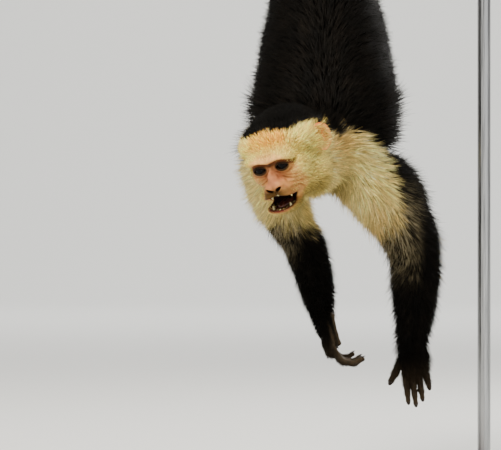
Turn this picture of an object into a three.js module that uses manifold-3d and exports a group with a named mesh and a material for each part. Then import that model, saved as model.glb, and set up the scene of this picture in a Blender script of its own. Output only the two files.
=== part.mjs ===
// White-faced capuchin monkey, life size, hanging head down from a cut branch by its hind feet and
// tail, with both arms reaching down and its head bent back to look out past its own back.
// A flat base and one rod carry the branch. Millimetres, +Z up, origin at the base's bottom centre.
// The animal's back faces -Y, its left side is +X, and every flesh solid reaches out to the coat's tips.
import * as THREE from "three";
import { mergeVertices } from "three/addons/utils/BufferGeometryUtils.js";
import Module from "manifold-3d";

const wasm = await Module();
wasm.setup();

// ---------------------------------------------------------------- driving sizes
const GAP = 0.3; // clearance between touching pieces
const BLOCK_GAP = 1.6; // clearance round the coarse head, whose facets lie a little inside it
const PLUMB = [-36, 10]; // x, y of the animal's plumb line on the base
const BASE = { wide: 330, deep: 312, thick: 20, corner: 34, bevel: 3 };
const ROD = { x: 159, radius: 6.5, socket: 12, collarRadius: 18, collarHeight: 9 };
const PERCH = { y: 0, z: 812, radius: 17, left: -116, right: 190, rings: 9 };
const PERCH_SWELL = { by: 1.6, waves: 9, share: 0.4, less: 0.6 }; // the branch thins and swells

// Each ring of a limb: centre x, y, z, half width and half depth of the skin, depth of the coat.
const TRUNK = [
  [0, -4, 640, 26, 26, 10],
  [0, 2, 616, 39, 37, 12],
  [0, 5, 586, 44, 41, 13],
  [0, 5, 550, 39, 39, 13],
  [-1, 3, 511, 38, 41, 13],
  [-1, 1, 480, 41, 44, 13],
  [0, -1, 452, 47, 47, 13.5],
  [0, -4, 420, 52, 47, 14],
  [0, -8, 388, 55, 43, 14],
  [0, -12, 358, 50, 36, 14],
  [-4, -16, 336, 36, 28, 13],
];
const CUT_BELLY = 556; // height of the cut between hips and belly
const CUT_CHEST = 452; // height of the cut between belly and chest

const NECK = [
  [-8, -18, 343, 33, 33, 11],
  [-16, -48, 332, 30, 30, 12],
  [-23, -80, 324, 27, 27, 10],
  [-28, -98, 322, 24, 24, 8],
];

const ARM_LEFT = [
  [14, -12, 360, 28, 25, 9],
  [32, -12, 318, 22, 24, 12],
  [58, -8, 295, 25, 24, 13],
  [74, -4, 270, 20, 20, 12.5],
  [86, 2, 245, 17, 17, 12],
  [90, 2, 225, 16, 16, 10.5],
  [90, 0, 205, 15.5, 14.5, 10.5],
  [90, -1, 185, 13.5, 12.5, 9.5],
  [89, -2, 167, 11.5, 10.5, 8.5],
  [87.3, -3, 153, 10.5, 8.5, 6.5],
  [87, -3, 141, 11, 7.5, 4.5],
];
const ARM_RIGHT = [
  [-18, -10, 362, 28, 25, 9],
  [-48, 0, 328, 24, 24, 11],
  [-45, 18, 292, 19, 19, 11],
  [-33, 32, 264, 14.5, 14.5, 9.5],
  [-21, 37, 244, 13.5, 14, 9],
  [-14.5, 34, 225, 13, 13, 8],
  [-9, 27, 204, 12, 11.5, 7.5],
  [-5, 20, 184, 10, 9.5, 5.5],
  [-2.4, 14, 170, 8.6, 8.2, 3.5],
  [1, 12.6, 157, 8.2, 8, 2.4],
];
const ELBOW = 4; // ring number of the elbow in both arms
const WRIST = { left: 9, right: 8 };

// The left leg; the right one mirrors it.
const LEG = [
  [24, 8, 598, 27, 30, 11],
  [44, 34, 632, 28, 27, 12],
  [59, 58, 664, 22, 22, 11],
  [67, 70, 691, 16, 16, 9],
  [67, 65, 719, 15.5, 15, 9],
  [64, 49, 749, 12, 12, 8],
  [62, 37, 777, 9, 9, 5.5],
  [62, 32, 790, 8.5, 8, 3.5],
];
const KNEE = 3;
const ANKLE = 6;
const FOOT = { x: 62, toeRadius: 3.6, bigToeRadius: 4.4, soleFrom: -42, soleTo: 72, lift: 1 };
const SOLE = [[10, 8.5], [12.5, 8.5], [13.5, 7.5], [13, 5.5]]; // half width and half depth
const TOES = [-9.6, -3.2, 3.2, 9.4]; // places across the foot
const TOE_WRAP = { from: 60, to: 168, less: 9, longest: 1.4, spread: 1.15 };
const BIG_TOE_WRAP = { from: -20, to: -132, near: -8, far: -15 };

// The tail climbs from the rump and takes just over one turn round the branch.
const TAIL_CLIMB = [
  [2, -16, 628],
  [5, -38, 656],
  [9, -51, 694],
  [12, -50, 734],
  [14, -42, 772],
];
const TAIL = { baseRadius: 17, wrapRadius: 11.5, tipRadius: 8, turns: 1.3, pitch: -27, startX: 14 };
const TAIL_TAPER = { baseEnds: 0.45, tipStarts: 0.75 }; // shares of the tail's length
const TAIL_WRAP = { start: 186, steps: 24, clear: 0.4 };
const TAIL_LENGTHS = 5;
const TAIL_RINGS = 36;

// The head's own frame: f forward, s to the animal's left, u up, from the point between the eyes.
const HEAD = { eyes: [-55.7, -140, 316], yaw: 28, pitch: 26, roll: 12 };
const SKULL = [
  // centre f, s, u; half sizes f, s, u; how softly it joins the rest
  { at: [-42, 0, 12], size: [40, 32, 27], soft: 6 }, // braincase
  { at: [-21, 0, 3], size: [22, 27, 22], soft: 10 }, // forehead and face
  { at: [-24, 20, 15], size: [14, 12, 11], soft: 8 }, // temple
  { at: [-3.4, 11, 7.8], size: [6.8, 15, 4.8], soft: 6 }, // brow ridge
  { at: [-17, 19, -9], size: [14, 12, 12], soft: 9 }, // cheekbone
  { at: [-8, 6, -23], size: [16.5, 10.5, 9.5], soft: 7 }, // muzzle
  { at: [4, 0, -11], size: [5, 4.2, 9], soft: 5 }, // ridge of the nose
  { at: [6, 4.6, -17], size: [4.6, 4.6, 4], soft: 4 }, // wing of the nose
  { at: [-4, 8, -26.5], size: [11.5, 8.5, 5.6], soft: 4 }, // upper lip
  { at: [-30, 18, -26], size: [20, 13, 15], soft: 9 }, // jowl
  { at: [-9, 0, -42], size: [16, 15.4, 6.5], soft: 6 }, // chin
  { at: [-36, 0, -22], size: [27, 25, 19], soft: 9 }, // throat
];
const SKULL_CENTRE = [-24, 0, -8];
const FACE_MASK = { at: [6, 0, -16], stretch: [0.9, 1, 0.85], inner: 24, outer: 46 };
const HEAD_COAT = { face: 0.8, full: 8 };
// The open jaw is pushed to its right: by how much, and where along u and f that comes in.
const JAW_SLIDE = { by: 4.4, fromU: -26, toU: -35, fromF: -34, toF: -14 };
const MOUTH = { at: [3, 0, -34], size: [21, 18.6, 8] };
const JAW_CUT = { at: [-3, 0, -34], tilt: 12 };
const TONGUE = { at: [-7, -3.4, -39.4], size: [11, 7.5, 2.6] };
const EYE = { at: [-7.8, 12.7, -0.7], radius: 8, lidWide: 7.3, lidHigh: 3.1 };
const LIDS = { above: 2.1, below: 1.8, depth: 24, from: 4 }; // bows of the lids, and how deep they are cut
const EAR = { at: [-47, 37.5, 4], high: 15.5, wide: 11, thick: 3, turn: -38, lean: -10 };
const EAR_HOLLOW = { wide: 0.72, thick: 0.9, high: 0.76, out: 0.95 }; // shares of the ear's sizes
const HEAD_DETAIL = 7; // how finely the ball that makes the head is divided
const BLOCK_DETAIL = 4; // the same for the coarse head that its neighbours are cut by

// Teeth of one side: f, s and u of the root's centre, radius, length.
const UPPER_TEETH = [
  [2.6, 1.9, -24, 1.8, 4.2],
  [1.8, 5.2, -24, 1.7, 4],
  [0.6, 10.8, -23.5, 2.1, 8.6],
  [-5.5, 12.6, -24, 2.1, 5.6],
];
const LOWER_TEETH = [
  [2.6, 1.9, -45, 1.6, 5],
  [1.8, 5.4, -45, 1.6, 5],
  [0.2, 10, -45.5, 2.1, 9],
  [-4.5, 11.8, -44.5, 1.9, 5.6],
];

// ---------------------------------------------------------------- vectors and solids
const vec = (a) => new THREE.Vector3(...a);
const radians = THREE.MathUtils.degToRad;
const lerp = THREE.MathUtils.lerp;
const smoothstep = THREE.MathUtils.smoothstep;

function solidFrom(points, triangles) {
  return new wasm.Manifold(
    new wasm.Mesh({
      numProp: 3,
      vertProperties: new Float32Array(points.flatMap((p) => [p.x, p.y, p.z])),
      triVerts: new Uint32Array(triangles),
    }),
  );
}

function solidFromGeometry(geometry) {
  const bare = geometry.clone();
  bare.deleteAttribute("normal");
  bare.deleteAttribute("uv");
  const merged = mergeVertices(bare, 1e-4);
  return new wasm.Manifold(
    new wasm.Mesh({
      numProp: 3,
      vertProperties: merged.attributes.position.array,
      triVerts: new Uint32Array(merged.index.array),
    }),
  );
}

// Rings through the given stations, spaced evenly along a smooth curve.
function resample(stations, count) {
  const curve = new THREE.CatmullRomCurve3(stations.map((s) => s.at), false, "centripetal");
  const sizes = new THREE.CatmullRomCurve3(
    stations.map((s) => new THREE.Vector3(s.across, s.deep, 0)),
    false,
    "centripetal",
  );
  return Array.from({ length: count }, (_, i) => {
    const t = i / (count - 1);
    const size = sizes.getPoint(t);
    return { at: curve.getPoint(t), along: curve.getTangent(t), across: size.x, deep: size.y };
  });
}

// A closed tube of elliptical rings. Rounded ends get domes, flat ends get a plain cap.
function tube(rings, side, sides, domes = [true, true], grow = 0) {
  const all = rings.map((r) => ({ ...r, scale: 1, shift: 0 }));
  const dome = (ring, way) =>
    [0.6].map((share) => ({
      ...ring,
      scale: Math.cos((share * Math.PI) / 2),
      shift: way * Math.sin((share * Math.PI) / 2) * Math.min(ring.across, ring.deep) * 0.8,
    }));
  if (domes[0]) all.unshift(...dome(rings[0], -1).reverse());
  if (domes[1]) all.push(...dome(rings.at(-1), 1));
  const points = [];
  const triangles = [];
  all.forEach((ring) => {
    const v = side.clone().addScaledVector(ring.along, -side.dot(ring.along)).normalize();
    const w = ring.along.clone().cross(v).normalize();
    const centre = ring.at.clone().addScaledVector(ring.along, ring.shift);
    for (let k = 0; k < sides; k++) {
      const turn = (k / sides) * 2 * Math.PI;
      points.push(
        centre
          .clone()
          .addScaledVector(v, Math.cos(turn) * (ring.across * ring.scale + grow))
          .addScaledVector(w, Math.sin(turn) * (ring.deep * ring.scale + grow)),
      );
    }
  });
  for (let i = 0; i + 1 < all.length; i++)
    for (let k = 0; k < sides; k++) {
      const a = i * sides + k;
      const b = i * sides + ((k + 1) % sides);
      triangles.push(a, b, b + sides, a, b + sides, a + sides);
    }
  const cap = (start, ring, way, isDome) => {
    const reach = isDome ? way * (Math.min(ring.across, ring.deep) * 0.8 + grow) : way * grow;
    points.push(ring.at.clone().addScaledVector(ring.along, reach));
    const tip = points.length - 1;
    for (let k = 0; k < sides; k++) {
      const a = start + k;
      const b = start + ((k + 1) % sides);
      triangles.push(...(way > 0 ? [a, b, tip] : [b, a, tip]));
    }
  };
  cap(0, rings[0], -1, domes[0]);
  cap((all.length - 1) * sides, rings.at(-1), 1, domes[1]);
  return solidFrom(points, triangles);
}

const stationsOf = (table, mirror = 1) =>
  table.map(([x, y, z, across, deep, coat]) => ({
    at: vec([x * mirror, y, z]),
    across: across + coat,
    deep: deep + coat,
  }));

// Keeps what lies on the normal's side of a plane, half the gap away from it.
function keepBeyond(solid, at, normal) {
  const n = normal.clone().normalize();
  return solid.trimByPlane([n.x, n.y, n.z], n.dot(at) + GAP / 2);
}

function largest(solid) {
  return solid.decompose().sort((a, b) => b.volume() - a.volume())[0];
}

// The plane across a limb at one of its rings.
function crossing(stations, index) {
  const along = stations[index + 1].at.clone().sub(stations[index - 1].at).normalize();
  return { at: stations[index].at, along };
}

// ---------------------------------------------------------------- the head
function headFrame() {
  const [yaw, pitch, roll] = [HEAD.yaw, HEAD.pitch, HEAD.roll].map(radians);
  const f = new THREE.Vector3(
    -Math.sin(yaw) * Math.cos(pitch),
    -Math.cos(yaw) * Math.cos(pitch),
    -Math.sin(pitch),
  );
  const level = new THREE.Vector3(Math.cos(yaw), -Math.sin(yaw), 0);
  const upright = f.clone().cross(level);
  const s = level.clone().multiplyScalar(Math.cos(roll)).addScaledVector(upright, Math.sin(roll));
  const u = f.clone().cross(s);
  return new THREE.Matrix4().makeBasis(f, s, u).setPosition(vec(HEAD.eyes));
}

function ellipsoidDistance(p, at, size) {
  const q = [0, 1, 2].map((i) => (p[i] - at[i]) / size[i]);
  const k0 = Math.hypot(...q);
  const k1 = Math.hypot(...q.map((x, i) => x / size[i]));
  return k1 === 0 ? -Math.min(...size) : (k0 * (k0 - 1)) / k1;
}

function softUnion(a, b, soft) {
  const h = Math.max(soft - Math.abs(a - b), 0) / soft;
  return Math.min(a, b) - (h * h * soft) / 4;
}

// How far the jaw is pushed to its right at a place in the head's frame.
function jawSlide(f, u) {
  const down = smoothstep(JAW_SLIDE.fromU - u, 0, JAW_SLIDE.fromU - JAW_SLIDE.toU);
  return JAW_SLIDE.by * down * smoothstep(f, JAW_SLIDE.fromF, JAW_SLIDE.toF);
}

// Signed distance to the bare head, in the head's frame.
function headSkin(p) {
  const half = [p[0], Math.abs(p[1] + jawSlide(p[0], p[2])), p[2]];
  return SKULL.reduce(
    (d, lump) => softUnion(d, ellipsoidDistance(half, lump.at, lump.size), lump.soft),
    1e3,
  );
}

function headCoat(p) {
  const from = FACE_MASK.at.map((c, i) => (p[i] - c) * FACE_MASK.stretch[i]);
  const share = smoothstep(Math.hypot(...from), FACE_MASK.inner, FACE_MASK.outer);
  return lerp(HEAD_COAT.face, HEAD_COAT.full, share);
}

// The coated head: points of a fine ball moved out along rays until they meet the coat's surface.
function headBall(grow, detail) {
  const ball = new THREE.IcosahedronGeometry(1, detail);
  ball.deleteAttribute("normal");
  ball.deleteAttribute("uv");
  const merged = mergeVertices(ball, 1e-4);
  const place = merged.getAttribute("position");
  for (let i = 0; i < place.count; i++) {
    const way = new THREE.Vector3().fromBufferAttribute(place, i).normalize().toArray();
    let near = 5;
    let far = 110;
    for (let step = 0; step < 24; step++) {
      const middle = (near + far) / 2;
      const p = SKULL_CENTRE.map((c, j) => c + way[j] * middle);
      if (headSkin(p) - headCoat(p) - grow < 0) near = middle;
      else far = middle;
    }
    place.setXYZ(i, ...SKULL_CENTRE.map((c, j) => c + way[j] * near));
  }
  return solidFromGeometry(merged);
}

function ellipsoid(at, size, around = 20, rings = 12) {
  const ball = new THREE.SphereGeometry(1, around, rings);
  ball.scale(...size);
  ball.translate(...at);
  return solidFromGeometry(ball);
}

// The open mouth, drawn aside with the jaw.
function mouthSpace() {
  return ellipsoid(MOUTH.at, MOUTH.size, 14, 6).warp((p) => (p[1] -= jawSlide(p[0], p[2])));
}

// Short cones standing on the gum, on both sides.
function teeth(rows, way, slide) {
  return rows.flatMap(([f, s, u, radius, length]) =>
    [1, -1].map((mirror) => {
      const cone = new THREE.ConeGeometry(radius, length, 5);
      cone.rotateX((way * Math.PI) / 2);
      cone.translate(f, s * mirror - slide, u + (way * length) / 2);
      return solidFromGeometry(cone);
    }),
  );
}

// The almond-shaped way through the lids, widening outwards.
function lidOpening(mirror) {
  const outline = new THREE.Shape();
  outline.moveTo(-EYE.lidWide, 0);
  outline.quadraticCurveTo(0, EYE.lidHigh * LIDS.above, EYE.lidWide, 0);
  outline.quadraticCurveTo(0, -EYE.lidHigh * LIDS.below, -EYE.lidWide, 0);
  const block = new THREE.ExtrudeGeometry(outline, {
    depth: LIDS.depth,
    bevelEnabled: false,
    curveSegments: 4,
  });
  block.applyMatrix4(
    new THREE.Matrix4().makeBasis(
      new THREE.Vector3(0, 1, 0),
      new THREE.Vector3(0, 0, 1),
      new THREE.Vector3(1, 0, 0),
    ),
  );
  block.translate(EYE.at[0] + LIDS.from, EYE.at[1] * mirror, EYE.at[2]);
  return solidFromGeometry(block);
}

function earSolid(mirror, grow = 0) {
  const shell = new THREE.SphereGeometry(1, 12, 8);
  shell.scale(EAR.wide + grow, EAR.thick + grow, EAR.high + grow);
  const hollow = new THREE.SphereGeometry(1, 10, 6);
  hollow.scale(EAR.wide * EAR_HOLLOW.wide, EAR.thick * EAR_HOLLOW.thick, EAR.high * EAR_HOLLOW.high);
  hollow.translate(0, EAR.thick * EAR_HOLLOW.out * mirror, 0);
  const turn = new THREE.Matrix4()
    .makeTranslation(EAR.at[0], EAR.at[1] * mirror, EAR.at[2])
    .multiply(new THREE.Matrix4().makeRotationZ(radians(EAR.turn * mirror)))
    .multiply(new THREE.Matrix4().makeRotationX(radians(EAR.lean * mirror)));
  shell.applyMatrix4(turn);
  hollow.applyMatrix4(turn);
  const solid = solidFromGeometry(shell);
  return grow ? solid : solid.subtract(solidFromGeometry(hollow));
}

// ---------------------------------------------------------------- hands and feet
// A digit bends towards the palm at each of its joints.
function digit(base, along, palm, bends, lengths, radii) {
  const axis = along.clone().cross(palm).normalize();
  const way = along.clone();
  const at = base.clone();
  const stations = [{ at: at.clone(), across: radii[0], deep: radii[0] }];
  lengths.forEach((length, i) => {
    way.applyAxisAngle(axis, radians(bends[i]));
    at.addScaledVector(way, length);
    stations.push({ at: at.clone(), across: radii[i + 1], deep: radii[i + 1] * 0.94 });
  });
  return tube(resample(stations, 5), axis, 5, [false, true]);
}

function orthogonal(along, palm) {
  const f = vec(along).normalize();
  const p = vec(palm);
  p.addScaledVector(f, -p.dot(f)).normalize();
  return { f, p };
}

// Index to little finger: place across the knuckles, share of the full length, sideways lean.
const FINGERS = [
  [9.3, 0.96, 0.03],
  [2.9, 1.04, 0.01],
  [-3.5, 0.92, -0.02],
  [-10.2, 0.66, -0.1],
];
const FINGER_BONES = [16.5, 11.5, 8.5];
const FINGER_RADII = [3.8, 3.55, 3.2, 2.7];
const LAST_BEND = 0.9; // bend of a finger's last joint against its middle one
const THUMB_BEND = 6;
const THUMB_RADII = [5.2, 4.7, 4.2, 3.2];
const KNUCKLES = { ahead: 24, raised: 0.5 }; // of the wrist, along the hand and towards the palm
const PALM = [
  // ahead of the wrist, towards the thumb, half width, half depth
  [-9, 0, 11.5, 9.5],
  [4, 0, 14, 8.8],
  [16, -0.5, 15, 8],
  [27, -1, 13.6, 6.2],
];

function hand({ wrist, along, palm, mirror, lean, knuckleBends, jointBends, thumb }) {
  const { f, p } = orthogonal(along, palm);
  const t = mirror > 0 ? p.clone().cross(f) : f.clone().cross(p);
  const axis = f.clone().cross(p).normalize();
  const point = (a, b, c) =>
    wrist.clone().addScaledVector(f, a).addScaledVector(t, b).addScaledVector(p, c);
  const palmRings = PALM.map(([a, b, across, deep]) => ({ at: point(a, b, 0), across, deep }));
  let solid = tube(resample(palmRings, 5), t, 10);
  FINGERS.forEach(([offset, share, sideways], i) => {
    const way = f.clone().applyAxisAngle(axis, radians(knuckleBends[i]));
    way.addScaledVector(t, sideways + lean).normalize();
    const bones = FINGER_BONES.map((b) => b * share);
    const bends = [0, jointBends[i], jointBends[i] * LAST_BEND];
    const base = point(KNUCKLES.ahead, offset, KNUCKLES.raised);
    solid = solid.add(digit(base, way, p, bends, bones, FINGER_RADII));
  });
  const thumbWay = f.clone().multiplyScalar(thumb.f).addScaledVector(t, thumb.t).addScaledVector(p, thumb.p);
  const thumbBends = [0, THUMB_BEND, THUMB_BEND];
  return solid.add(
    digit(point(...thumb.from), thumbWay.normalize(), p, thumbBends, thumb.bones, THUMB_RADII),
  );
}

const round = (x, radius, degrees) =>
  new THREE.Vector3(
    x,
    PERCH.y + radius * Math.cos(radians(degrees)),
    PERCH.z + radius * Math.sin(radians(degrees)),
  );

// A digit or sole that follows the branch's girth from one angle to another.
function wrapped(fromX, toX, height, from, to, radii, side, sides = 5) {
  const stations = radii.map(([across, deep], i) => {
    const t = i / (radii.length - 1);
    const reach = PERCH.radius + GAP + deep + height;
    return { at: round(lerp(fromX, toX, t), reach, lerp(from, to, t)), across, deep };
  });
  return tube(resample(stations, radii.length + 1), side, sides);
}

function foot(mirror) {
  const { x, lift, soleFrom, soleTo } = FOOT;
  const side = new THREE.Vector3(1, 0, 0);
  const taper = (r) => [[r, r], [r, r * 0.96], [r * 0.9, r * 0.88], [r * 0.6, r * 0.6]];
  let solid = wrapped(x, x, lift, soleFrom, soleTo, SOLE, side, 10);
  const { from, to, less, longest, spread } = TOE_WRAP;
  TOES.forEach((offset, i) => {
    const end = to - Math.abs(i - longest) * less;
    solid = solid.add(wrapped(x + offset, x + offset * spread, 0, from, end, taper(FOOT.toeRadius), side));
  });
  const { near, far } = BIG_TOE_WRAP;
  const radii = taper(FOOT.bigToeRadius);
  solid = solid.add(wrapped(x + near, x + far, 0, BIG_TOE_WRAP.from, BIG_TOE_WRAP.to, radii, side));
  return mirror > 0 ? solid : solid.mirror([1, 0, 0]);
}

// ---------------------------------------------------------------- building the animal
const clay = (color, roughness = 0.85) =>
  new THREE.MeshStandardMaterial({ color, roughness, metalness: 0 });
const FINISH = {
  blackCoat: clay(0x15120f, 0.9),
  creamCoat: clay(0xdcc593, 0.9),
  faceSkin: clay(0xd9a58c, 0.6),
  darkSkin: clay(0x2a211d, 0.6),
  mouthFlesh: clay(0x7a2f30, 0.4),
  eyeball: clay(0x120c09, 0.1),
  bark: clay(0x6b5642, 0.95),
  standWood: clay(0x33241a, 0.4),
  standSteel: new THREE.MeshStandardMaterial({ color: 0x2b2d30, roughness: 0.4, metalness: 0.9 }),
};

const model = new THREE.Group();
const animal = new THREE.Group();
animal.position.set(PLUMB[0], PLUMB[1], 0);
model.add(animal);

function addNode(parent, name, solid, material) {
  const made = solid.getMesh();
  const geometry = new THREE.BufferGeometry();
  geometry.setAttribute("position", new THREE.BufferAttribute(new Float32Array(made.vertProperties), 3));
  geometry.setIndex(new THREE.BufferAttribute(new Uint32Array(made.triVerts), 1));
  const mesh = new THREE.Mesh(geometry, material);
  mesh.name = name;
  parent.add(mesh);
}

const DOWN = new THREE.Vector3(0, 0, -1);
const UP = new THREE.Vector3(0, 0, 1);
const ACROSS = new THREE.Vector3(1, 0, 0);

function buildHead() {
  const frame = headFrame();
  const toWorld = frame.toArray();
  const place = (solid) => solid.transform(toWorld);
  const bare = headBall(0, HEAD_DETAIL);
  const mouth = mouthSpace();
  const cutNormal = new THREE.Vector3(Math.sin(radians(JAW_CUT.tilt)), 0, Math.cos(radians(JAW_CUT.tilt)));
  const cutAt = vec(JAW_CUT.at);
  let upper = keepBeyond(bare, cutAt, cutNormal).subtract(mouth);
  let lower = keepBeyond(bare, cutAt, cutNormal.clone().negate()).subtract(mouth);
  teeth(UPPER_TEETH, -1, 0).forEach((t) => (upper = upper.add(t)));
  teeth(LOWER_TEETH, 1, JAW_SLIDE.by).forEach((t) => (lower = lower.add(t)));
  const tongue = ellipsoid(TONGUE.at, TONGUE.size, 10, 6);
  const tongueRoom = ellipsoid(TONGUE.at, TONGUE.size.map((x) => x + GAP), 10, 6);
  lower = lower.subtract(tongueRoom);
  upper = upper.subtract(tongueRoom);
  [1, -1].forEach((mirror) => {
    const at = [EYE.at[0], EYE.at[1] * mirror, EYE.at[2]];
    upper = upper
      .subtract(ellipsoid(at, Array(3).fill(EYE.radius + GAP), 10, 7))
      .subtract(lidOpening(mirror));
    const side = mirror > 0 ? "left" : "right";
    addNode(animal, `eye_${side}`, place(ellipsoid(at, Array(3).fill(EYE.radius), 10, 7)), FINISH.eyeball);
    const ear = largest(earSolid(mirror).subtract(headBall(GAP, HEAD_DETAIL)));
    addNode(animal, `ear_${side}`, place(ear), FINISH.faceSkin);
  });
  addNode(animal, "head", place(largest(upper)), FINISH.creamCoat);
  addNode(animal, "jaw", place(largest(lower)), FINISH.creamCoat);
  addNode(animal, "tongue", place(tongue), FINISH.mouthFlesh);
  return place(headBall(BLOCK_GAP, BLOCK_DETAIL).add(earSolid(1, GAP)).add(earSolid(-1, GAP)));
}

function buildTrunk(head) {
  const rings = resample(stationsOf(TRUNK), 15);
  const whole = tube(rings, ACROSS, 16);
  const belly = new THREE.Vector3(0, 0, CUT_BELLY);
  const chest = new THREE.Vector3(0, 0, CUT_CHEST);
  addNode(animal, "hips", keepBeyond(whole, belly, UP), FINISH.blackCoat);
  addNode(animal, "belly", keepBeyond(keepBeyond(whole, belly, DOWN), chest, UP), FINISH.blackCoat);
  addNode(animal, "chest", keepBeyond(whole, chest, DOWN).subtract(head), FINISH.blackCoat);
  return tube(rings, ACROSS, 16, [true, true], GAP);
}

function buildNeck(trunk, head) {
  const rings = resample(stationsOf(NECK), 5);
  addNode(animal, "neck", largest(tube(rings, UP, 12).subtract(trunk).subtract(head)), FINISH.creamCoat);
  return tube(rings, UP, 12, [true, true], GAP);
}

function buildArm(side, table, handShape, blockers) {
  const stations = stationsOf(table);
  const whole = tube(resample(stations, 13), ACROSS, 11);
  const elbow = crossing(stations, ELBOW);
  const wrist = crossing(stations, WRIST[side]);
  const back = (cut) => cut.along.clone().negate();
  let upper = keepBeyond(whole, elbow.at, back(elbow));
  blockers.forEach((b) => (upper = upper.subtract(b)));
  addNode(animal, `upper_arm_${side}`, largest(upper), FINISH.creamCoat);
  const fore = keepBeyond(keepBeyond(whole, elbow.at, elbow.along), wrist.at, back(wrist));
  addNode(animal, `forearm_${side}`, fore, FINISH.blackCoat);
  const open = keepBeyond(hand(handShape).add(whole), wrist.at, wrist.along);
  addNode(animal, `hand_${side}`, largest(open), FINISH.darkSkin);
}

function buildLeg(side, mirror, trunk, perch) {
  const stations = stationsOf(LEG, mirror);
  const whole = tube(resample(stations, 11), ACROSS, 10);
  const knee = crossing(stations, KNEE);
  const ankle = crossing(stations, ANKLE);
  const back = (cut) => cut.along.clone().negate();
  let thigh = keepBeyond(whole, knee.at, back(knee)).subtract(trunk);
  thigh = mirror > 0 ? keepBeyond(thigh, vec([0, 0, 0]), ACROSS) : thigh.trimByPlane([-1, 0, 0], GAP / 2);
  addNode(animal, `thigh_${side}`, largest(thigh), FINISH.blackCoat);
  const shank = keepBeyond(keepBeyond(whole, knee.at, knee.along), ankle.at, back(ankle));
  addNode(animal, `shank_${side}`, largest(shank.subtract(perch)), FINISH.blackCoat);
  const sole = keepBeyond(foot(mirror).add(whole), ankle.at, ankle.along).subtract(perch);
  addNode(animal, `foot_${side}`, largest(sole), FINISH.darkSkin);
}

// Centre line of the tail with its radius at each step.
function tailLine() {
  const reach = PERCH.radius + GAP + TAIL.wrapRadius + TAIL_WRAP.clear;
  const points = TAIL_CLIMB.map(vec);
  for (let i = 0; i <= TAIL_WRAP.steps; i++) {
    const turns = (TAIL.turns * i) / TAIL_WRAP.steps;
    points.push(round(TAIL.startX + TAIL.pitch * turns, reach, TAIL_WRAP.start - 360 * turns));
  }
  const curve = new THREE.CatmullRomCurve3(points, false, "centripetal");
  const { baseEnds, tipStarts } = TAIL_TAPER;
  return Array.from({ length: TAIL_RINGS }, (_, i) => {
    const t = i / (TAIL_RINGS - 1);
    const radius =
      t < baseEnds
        ? lerp(TAIL.baseRadius, TAIL.wrapRadius, smoothstep(t, 0, baseEnds))
        : lerp(TAIL.wrapRadius, TAIL.tipRadius, smoothstep(t, tipStarts, 1));
    return { at: curve.getPointAt(t), along: curve.getTangentAt(t), across: radius, deep: radius };
  });
}

function buildTail(trunk, perch) {
  const rings = tailLine();
  const last = rings.length - 1;
  for (let n = 0; n < TAIL_LENGTHS; n++) {
    const from = Math.round((n * last) / TAIL_LENGTHS);
    const to = Math.round(((n + 1) * last) / TAIL_LENGTHS);
    const piece = rings.slice(from, to + 1).map((ring) => ({ ...ring, at: ring.at.clone() }));
    if (n > 0) piece[0].at.addScaledVector(piece[0].along, GAP / 2);
    if (n < TAIL_LENGTHS - 1) piece.at(-1).at.addScaledVector(piece.at(-1).along, -GAP / 2);
    const solid = tube(piece, ACROSS, 7, [n === 0, n === TAIL_LENGTHS - 1]);
    const free = largest(solid.subtract(trunk).subtract(perch));
    addNode(animal, `tail_${n + 1}`, free, FINISH.blackCoat);
  }
}

// ---------------------------------------------------------------- branch and stand
function perchSolid(grow) {
  const rings = Array.from({ length: PERCH.rings }, (_, i) => {
    const t = i / (PERCH.rings - 1);
    const { by, waves, share, less } = PERCH_SWELL;
    const swell = by * (Math.sin(t * waves) * share - less);
    return {
      at: new THREE.Vector3(lerp(PERCH.left, PERCH.right, t), PERCH.y, PERCH.z),
      along: ACROSS,
      across: PERCH.radius + swell,
      deep: PERCH.radius + swell,
    };
  });
  return tube(rings, UP, 12, [false, false], grow);
}

function buildStand() {
  const rodTop = PERCH.z - PERCH.radius + ROD.socket;
  const socket = new THREE.CylinderGeometry(ROD.radius + GAP, ROD.radius + GAP, 2 * ROD.socket, 12);
  socket.rotateX(Math.PI / 2);
  socket.translate(ROD.x, PERCH.y, rodTop + GAP - ROD.socket);
  addNode(animal, "perch", perchSolid(0).subtract(solidFromGeometry(socket)), FINISH.bark);

  const rod = new THREE.CylinderGeometry(ROD.radius, ROD.radius, rodTop - BASE.thick - GAP, 12);
  rod.rotateX(Math.PI / 2);
  rod.translate(ROD.x, PERCH.y, (rodTop + BASE.thick + GAP) / 2);
  addNode(animal, "stand_rod", solidFromGeometry(rod), FINISH.standSteel);

  const inner = ROD.radius + GAP;
  const { collarRadius: outer, collarHeight: high } = ROD;
  const profile = [
    [inner, 0],
    [outer, 0],
    [outer, high * 0.55],
    [outer - 3, high],
    [inner, high],
    [inner, 0],
  ].map(([x, y]) => new THREE.Vector2(x, y));
  const collar = new THREE.LatheGeometry(profile, 14);
  collar.rotateX(Math.PI / 2);
  collar.translate(ROD.x, PERCH.y, BASE.thick + GAP);
  addNode(animal, "stand_collar", solidFromGeometry(collar), FINISH.standSteel);

  const half = [BASE.wide / 2 - BASE.bevel, BASE.deep / 2 - BASE.bevel];
  const corner = BASE.corner - BASE.bevel;
  const outline = new THREE.Shape();
  [[1, 1], [-1, 1], [-1, -1], [1, -1]].forEach(([i, j], n) => {
    outline.absarc(
      i * (half[0] - corner),
      j * (half[1] - corner),
      corner,
      (n * Math.PI) / 2,
      ((n + 1) * Math.PI) / 2,
      false,
    );
  });
  outline.closePath();
  const plate = new THREE.ExtrudeGeometry(outline, {
    depth: BASE.thick - 2 * BASE.bevel,
    bevelThickness: BASE.bevel,
    bevelSize: BASE.bevel,
    bevelSegments: 1,
    curveSegments: 4,
  });
  plate.translate(0, 0, BASE.bevel);
  addNode(model, "stand_base", solidFromGeometry(plate), FINISH.standWood);
}

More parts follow.
